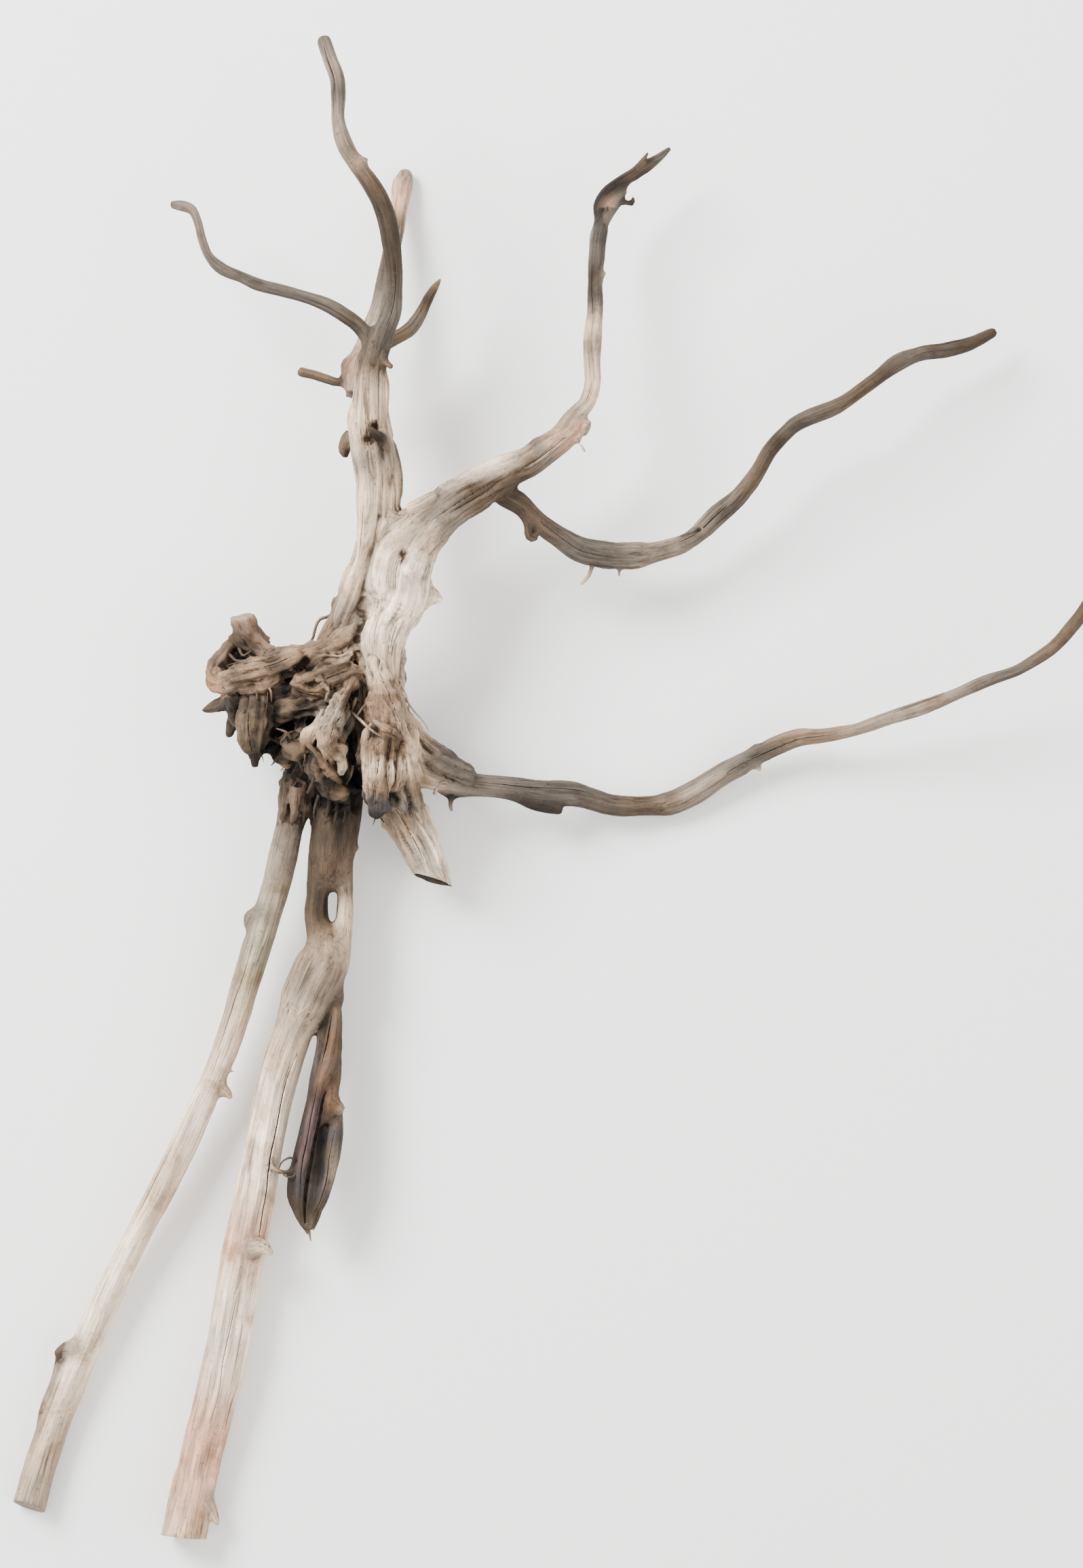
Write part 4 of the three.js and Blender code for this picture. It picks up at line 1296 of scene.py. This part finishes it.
def both(name):
    """A grain output, mixed between the two nearest limbs."""
    node = add_node(tree, "ShaderNodeMix", data_type="FLOAT")
    tree.links.new(share, node.inputs[0])
    tree.links.new(first.outputs[name], node.inputs[2])
    tree.links.new(other.outputs[name], node.inputs[3])
    return node.outputs[0]


bands, fibres, checks = both("Bands"), both("Fibres"), both("Checks")
place = add_node(tree, "ShaderNodeTexCoord").outputs["Object"]
stains = noise(tree, place, (38, 38, 38), 6, 0.62)
specks = noise(tree, place, (330, 330, 330), 3, 0.6)
hollow = attribute(tree, "hollow")

colour = attribute(tree, "tone", "Color")
band_light = ramp(tree, bands, (0.30, 0.42), (0.44, 0.84), (0.56, 1.08), (0.70, 1.42))
colour = mix_colour(tree, "MULTIPLY", 1.0, colour, band_light)
stain_share = ramp(tree, stains, (0.52, 0), (0.68, 0.75))
colour = mix_colour(tree, "MULTIPLY", stain_share, colour, (0.50, 0.40, 0.30, 1))
grey_share = ramp(tree, stains, (0.32, 0.5), (0.46, 0))
colour = mix_colour(tree, "MULTIPLY", grey_share, colour, (0.62, 0.66, 0.68, 1))
fibre_light = ramp(tree, fibres, (0.28, 0.50), (0.5, 1.0), (0.72, 1.32))
colour = mix_colour(tree, "MULTIPLY", 1.0, colour, fibre_light)
speck_share = ramp(tree, specks, (0.60, 0), (0.70, 0.6))
colour = mix_colour(tree, "MULTIPLY", speck_share, colour, (0.45, 0.36, 0.28, 1))
check_share = math_node(tree, "MULTIPLY", checks, 0.75)
colour = mix_colour(tree, "MULTIPLY", check_share, colour, (0.30, 0.24, 0.19, 1))
# painted shade: the deeper a point sits in a hollow, the darker its colour
deep = ramp(tree, hollow, (0.10, 0), (1.0, 1))
colour = mix_colour(tree, "MULTIPLY", deep, colour, (0.10, 0.075, 0.055, 1))
# points that stand out of their neighbourhood get a lighter colour
bump_lightening = ramp(tree, math_node(tree, "MULTIPLY", hollow, -1.0), (0.15, 0), (0.8, 0.45))
colour = mix_colour(tree, "MULTIPLY", bump_lightening, colour, (1.9, 1.85, 1.8, 1))
tree.links.new(colour, shader.inputs["Base Color"])

roughness = ramp(tree, bands, (0.3, 0.92), (0.7, 0.72))
tree.links.new(roughness, shader.inputs["Roughness"])
shader.inputs["Specular IOR Level"].default_value = 0.25

relief = math_node(tree, "MULTIPLY", fibres, 0.55)
relief = math_node(tree, "ADD", relief, math_node(tree, "MULTIPLY", bands, 0.9))
relief = math_node(tree, "SUBTRACT", relief, math_node(tree, "MULTIPLY", checks, 0.8))
relief = math_node(tree, "ADD", relief, math_node(tree, "MULTIPLY", specks, 0.3))
add_bump(tree, shader, relief, 0.75, 0.0009)
print("wood material:", len(tree.nodes), "nodes")

# %% [markdown]
# ## The wood inside cracks
# Little light gets into a crack, so its walls get painted shade: a nearly black brown. It needs
# no grain, only some unevenness from a noise. The rotten face where the heel broke off has the
# same finish.

# %% Make the crack wood
crack_wood, crack_tree, crack_shader = new_finish("crack_wood")
crack_place = add_node(crack_tree, "ShaderNodeTexCoord").outputs["Object"]
crack_noise = noise(crack_tree, crack_place, (160, 160, 160), 3)
crack_shade_variation = ramp(crack_tree, crack_noise, (0.35, 0.4), (0.65, 1.6))
# painted shade: the crack walls are a nearly black brown, made uneven by a noise
crack_colour = mix_colour(crack_tree, "MULTIPLY", 1.0, (0.020, 0.013, 0.009, 1), crack_shade_variation)
crack_tree.links.new(crack_colour, crack_shader.inputs["Base Color"])
crack_shader.inputs["Roughness"].default_value = 0.95
crack_shader.inputs["Specular IOR Level"].default_value = 0.1
print("crack material:", len(crack_tree.nodes), "nodes")

# %% [markdown]
# ## The sawn faces
# A sawn end shows growth rings. On a cut face the distance across the limb is the distance from
# the heart, so a wave of that distance gives the rings, and noise makes them uneven. A second
# noise adds the dirt that has settled in the open grain.

# %% Make the end grain
end_grain, end_tree, end_shader = new_finish("sawn_end")

end_place = attribute(end_tree, "grain_place", "Vector")
flat_place = add_node(end_tree, "ShaderNodeVectorMath", operation="MULTIPLY", in_1=(1, 1, 0))
end_tree.links.new(end_place, flat_place.inputs[0])
heart_distance = add_node(end_tree, "ShaderNodeVectorMath", operation="LENGTH")
end_tree.links.new(flat_place.outputs[0], heart_distance.inputs[0])
uneven = noise(end_tree, end_place, (140, 140, 140), 3)
RING_TURNS = 4200.0  # radians of the wave per metre, so a ring is 1.5 mm wide
ring_place = math_node(end_tree, "MULTIPLY", heart_distance.outputs["Value"], RING_TURNS)
ring_place = math_node(end_tree, "ADD", ring_place, math_node(end_tree, "MULTIPLY", uneven, 5.0))
rings = math_node(end_tree, "SINE", ring_place, 0.0)
ring_light = ramp(end_tree, math_node(end_tree, "MULTIPLY_ADD", rings, 0.5), (0.0, 0.55), (1.0, 1.0))
end_colour = mix_colour(end_tree, "MULTIPLY", 1.0, (0.36, 0.27, 0.20, 1), ring_light)
end_dirt = ramp(end_tree, noise(end_tree, end_place, (300, 300, 300), 4), (0.42, 0.0), (0.62, 0.8))
end_colour = mix_colour(end_tree, "MULTIPLY", end_dirt, end_colour, (0.35, 0.30, 0.26, 1))
end_tree.links.new(end_colour, end_shader.inputs["Base Color"])
end_shader.inputs["Roughness"].default_value = 0.9
add_bump(end_tree, end_shader, rings, 0.5, 0.0005)
print("end grain material:", len(end_tree.nodes), "nodes")

# %% Finish the skin
for number, finish in enumerate((wood, end_grain, crack_wood)):
    skin.materials[number] = finish
for face in skin.polygons:
    face.use_smooth = face.material_index != SAWN
driftwood = link("driftwood_skin", skin)
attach(driftwood, "root")
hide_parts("driftwood")
print("skin size in metres:", [round(v, 3) for v in driftwood.dimensions])

# %% [markdown]
# ## Loose fibres and splinters
# Where bark has rotted away, single fibres stand off, curl and end in a point, and one dead
# twig hangs beside the trunk. The voxel skin can't hold anything this thin. They are swept like
# the limbs, a few tenths of a millimetre thick at the tip, and each one starts inside the wood.

# %% Sweep the fibres
FIBRES = [
    [(-156.4, 148.1, 62, 2), (-164, 140.2, 60, 1.6), (-167.1, 134.8, 58, 1.3),
        (-175.2, 131.9, 56, 1.2), (-178.7, 124.4, 56, 1.1), (-180.2, 117.9, 57, 1),
        (-187.5, 111.2, 60, 0.9)],
    [(-112.8, 75.3, 78, 0.9), (-105, 64, 74, 0.7), (-97.6, 55.6, 72, 0.6), (-94.1, 49.6, 72, 0.4)],
    [(-111, 64, 74, 1.2), (-104.2, 53.1, 70, 1), (-100.2, 44.2, 68, 0.8), (-92.3, 35.2, 68, 0.4)],
    [(-115.7, 87.7, 80, 0.8), (-109.8, 72.8, 78, 0.6), (-107.9, 61, 76, 0.4)],
    [(-150.5, 63.5, 98, 1.3), (-142.4, 56.5, 104, 1.1), (-134.3, 49.1, 108, 1),
        (-125.5, 43.7, 108, 0.6)],
    [(-137.9, 70, 94, 1.1), (-142.1, 64.9, 100, 0.9), (-146.4, 58.5, 102, 0.5)],
    [(-90.7, 3.2, 54, 1.3), (-88.1, 8.2, 58, 1.1), (-84.5, 11.8, 60, 0.9), (-81, 11.2, 60, 0.7),
        (-79.5, 7.2, 58, 0.4)],
    [(-166.9, 0.3, 70, 1.8), (-168.8, -10.7, 72, 1.2), (-171, -19.7, 68, 0.4)],
    [(-161.6, -0.7, 68, 1.7), (-162.4, -11.7, 70, 1.1), (-165.2, -21.7, 66, 0.4)],
    [(-156.2, 0.3, 66, 1.5), (-155.6, -9.7, 68, 0.9), (-157.2, -17.7, 66, 0.4)],
    [(-174.8, 2.3, 72, 1.5), (-177.8, -6.7, 72, 1), (-179, -14.7, 68, 0.4)],
    [(-199.4, 38.1, 76, 1.7), (-204.4, 30.1, 76, 1.2), (-209.5, 24.2, 74, 0.4)],
    [(-193.4, 36.1, 76, 1.5), (-197.4, 27.2, 76, 1), (-202.7, 20.2, 72, 0.4)],
    [(-234, 110.5, 66, 1.3), (-229.4, 104.8, 74, 0.9), (-224.7, 107.7, 76, 0.4)],
    [(-241.2, 106.1, 64, 1.2), (-234.7, 100.9, 70, 0.9), (-227.5, 101.8, 73, 0.4)],
    [(-214.2, 84.4, 90, 1.1), (-208.4, 78.3, 96, 0.9), (-208, 70.5, 94, 0.4)],
    [(-222.3, 82.5, 88, 1), (-218.5, 73.5, 92, 0.7), (-221.8, 66.7, 88, 0.4)],
    [(-171.7, 49.8, 90, 1.2), (-176.8, 42.8, 96, 1), (-179.5, 35, 92, 0.7), (-175.7, 29, 90, 0.4)],
    [(-164.1, 46.6, 110, 1.3), (-168.5, 38.7, 112, 1.1), (-166.6, 31.9, 110, 0.9),
        (-160.9, 28.9, 106, 0.7), (-156.5, 31.9, 106, 0.4)],
    [(-192.3, -269, 48, 1.3), (-197, -265.5, 53, 1), (-202.5, -268, 53, 0.8),
        (-205.8, -273.9, 49, 0.5)],
    [(-191.3, -275, 48, 1.2), (-196.1, -280.2, 51, 0.9), (-201.2, -279.3, 50, 0.7),
        (-204.9, -275.1, 47, 0.4)],
    [(-186.1, -315.9, 42, 1.7), (-183.8, -322.7, 40, 1.1), (-182.9, -329, 38, 0.4)],
    [(-174.4, -303.5, 45, 1.3), (-177.5, -313.1, 44, 0.9), (-180.6, -320.4, 42, 0.4)],
    [(-193.6, 42.9, 88, 1.2), (-198, 48.7, 96, 1), (-204.1, 50.7, 94, 0.6)],
    [(-186.7, 38, 88, 1.2), (-183.5, 30, 92, 0.9), (-185.7, 23.1, 88, 0.4)],
    [(-149.1, 24.1, 88, 1.2), (-150.6, 16.2, 88, 0.9), (-154.2, 10.3, 84, 0.4)],
    [(-125.8, 111.7, 100, 0.9), (-128.6, 94.4, 104, 0.7), (-132.5, 81.1, 104, 0.4)],
    [(-106.9, -6.6, 76, 1.2), (-104.2, -18.6, 70, 0.9), (-104.9, -27.7, 64, 0.4)],
    [(-135.4, 0.3, 84, 1.1), (-131.7, -10.6, 78, 0.8), (-127.1, -17.6, 70, 0.4)],
]

fibre_paths = [make_path(stations) for stations in FIBRES]
longest = max(path[2][-1] for path in fibre_paths)
print(len(fibre_paths), "fibres, the longest", round(longest * MM, 1), "mm")

# %% [markdown]
# ## Slivers on the root ball
# The root ball was torn out of the ground, so its surface is rough with lifted slivers, each a
# few millimetres long. They are picked from the skin's own points with a random generator that
# starts from a fixed number. A sliver starts under the skin, runs along the grain of its limb and
# lifts off a little at its tip. Where the grain points out of the skin, as at the end of a lobe,
# the sliver is shorter, so that it doesn't stand up like a spike.

# %% Sweep the slivers
SLIVERS = 150
SLIVER_LENGTH = (0.005, 0.013)
SLIVER_LIFT = (0.0002, 0.0022)
SLIVER_THICKNESS = (0.0003, 0.0007)
SHORTEST_SHARE = 0.25
TURN = 0.18
ROOT_DEPTH = 0.0012
SLIVER_ZONE = 0.082
LOWEST_SLIVER = 0.045
sliver_random = np.random.default_rng(5)

skin_points = coordinates(skin)
skin_normals = normals(skin)
on_ball = np.linalg.norm((skin_points - BALL_CENTRE) * [1.0, 0.9, 0.8], axis=1) < SLIVER_ZONE
facing_up = (skin_points[:, 2] > LOWEST_SLIVER) & (skin_normals[:, 2] > 0.0)
candidates = np.flatnonzero(on_ball & facing_up)
chosen = sliver_random.choice(candidates, SLIVERS, replace=False)
limb, gap, place, fraction, radius = place_on_limbs(skin_points[chosen])
seats = zip(limb[:, 0], skin_points[chosen], skin_normals[chosen], place[:, 0])
for number, point, normal, spot in seats:
    name = LIMB_NAMES[number]
    step = min(np.searchsorted(PATHS[name][2], spot[2]), len(PATHS[name][2]) - 1)
    along = FRAMES[name][0][step] * sliver_random.choice([-1, 1])
    along = along + sliver_random.normal(0, TURN, 3)
    lying = 1 - abs(float(normal @ along))
    length = sliver_random.uniform(*SLIVER_LENGTH) * max(lying, SHORTEST_SHARE)
    lift = sliver_random.uniform(*SLIVER_LIFT)
    thick = sliver_random.uniform(*SLIVER_THICKNESS)
    start = point - normal * ROOT_DEPTH - along * length * 0.2
    middle = point + normal * (thick * 0.2 + lift * 0.3) + along * length * 0.4
    tip = point + normal * lift + along * length
    stations = np.array([[*start, thick], [*middle, thick * 0.8], [*tip, thick * 0.2]]) * MM
    fibre_paths.append(make_path(stations))

fibre_mesh = sweep("loose_fibres", fibre_paths, 1)
for face in fibre_mesh.polygons:
    face.use_smooth = True
paint(fibre_mesh)
fibre_mesh.materials.clear()
fibre_mesh.materials.append(wood)
fibres_piece = link("loose_fibres", fibre_mesh)
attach(fibres_piece, "root")
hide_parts("driftwood")
print(len(fibre_paths), "fibres and slivers with", len(fibre_mesh.polygons), "faces")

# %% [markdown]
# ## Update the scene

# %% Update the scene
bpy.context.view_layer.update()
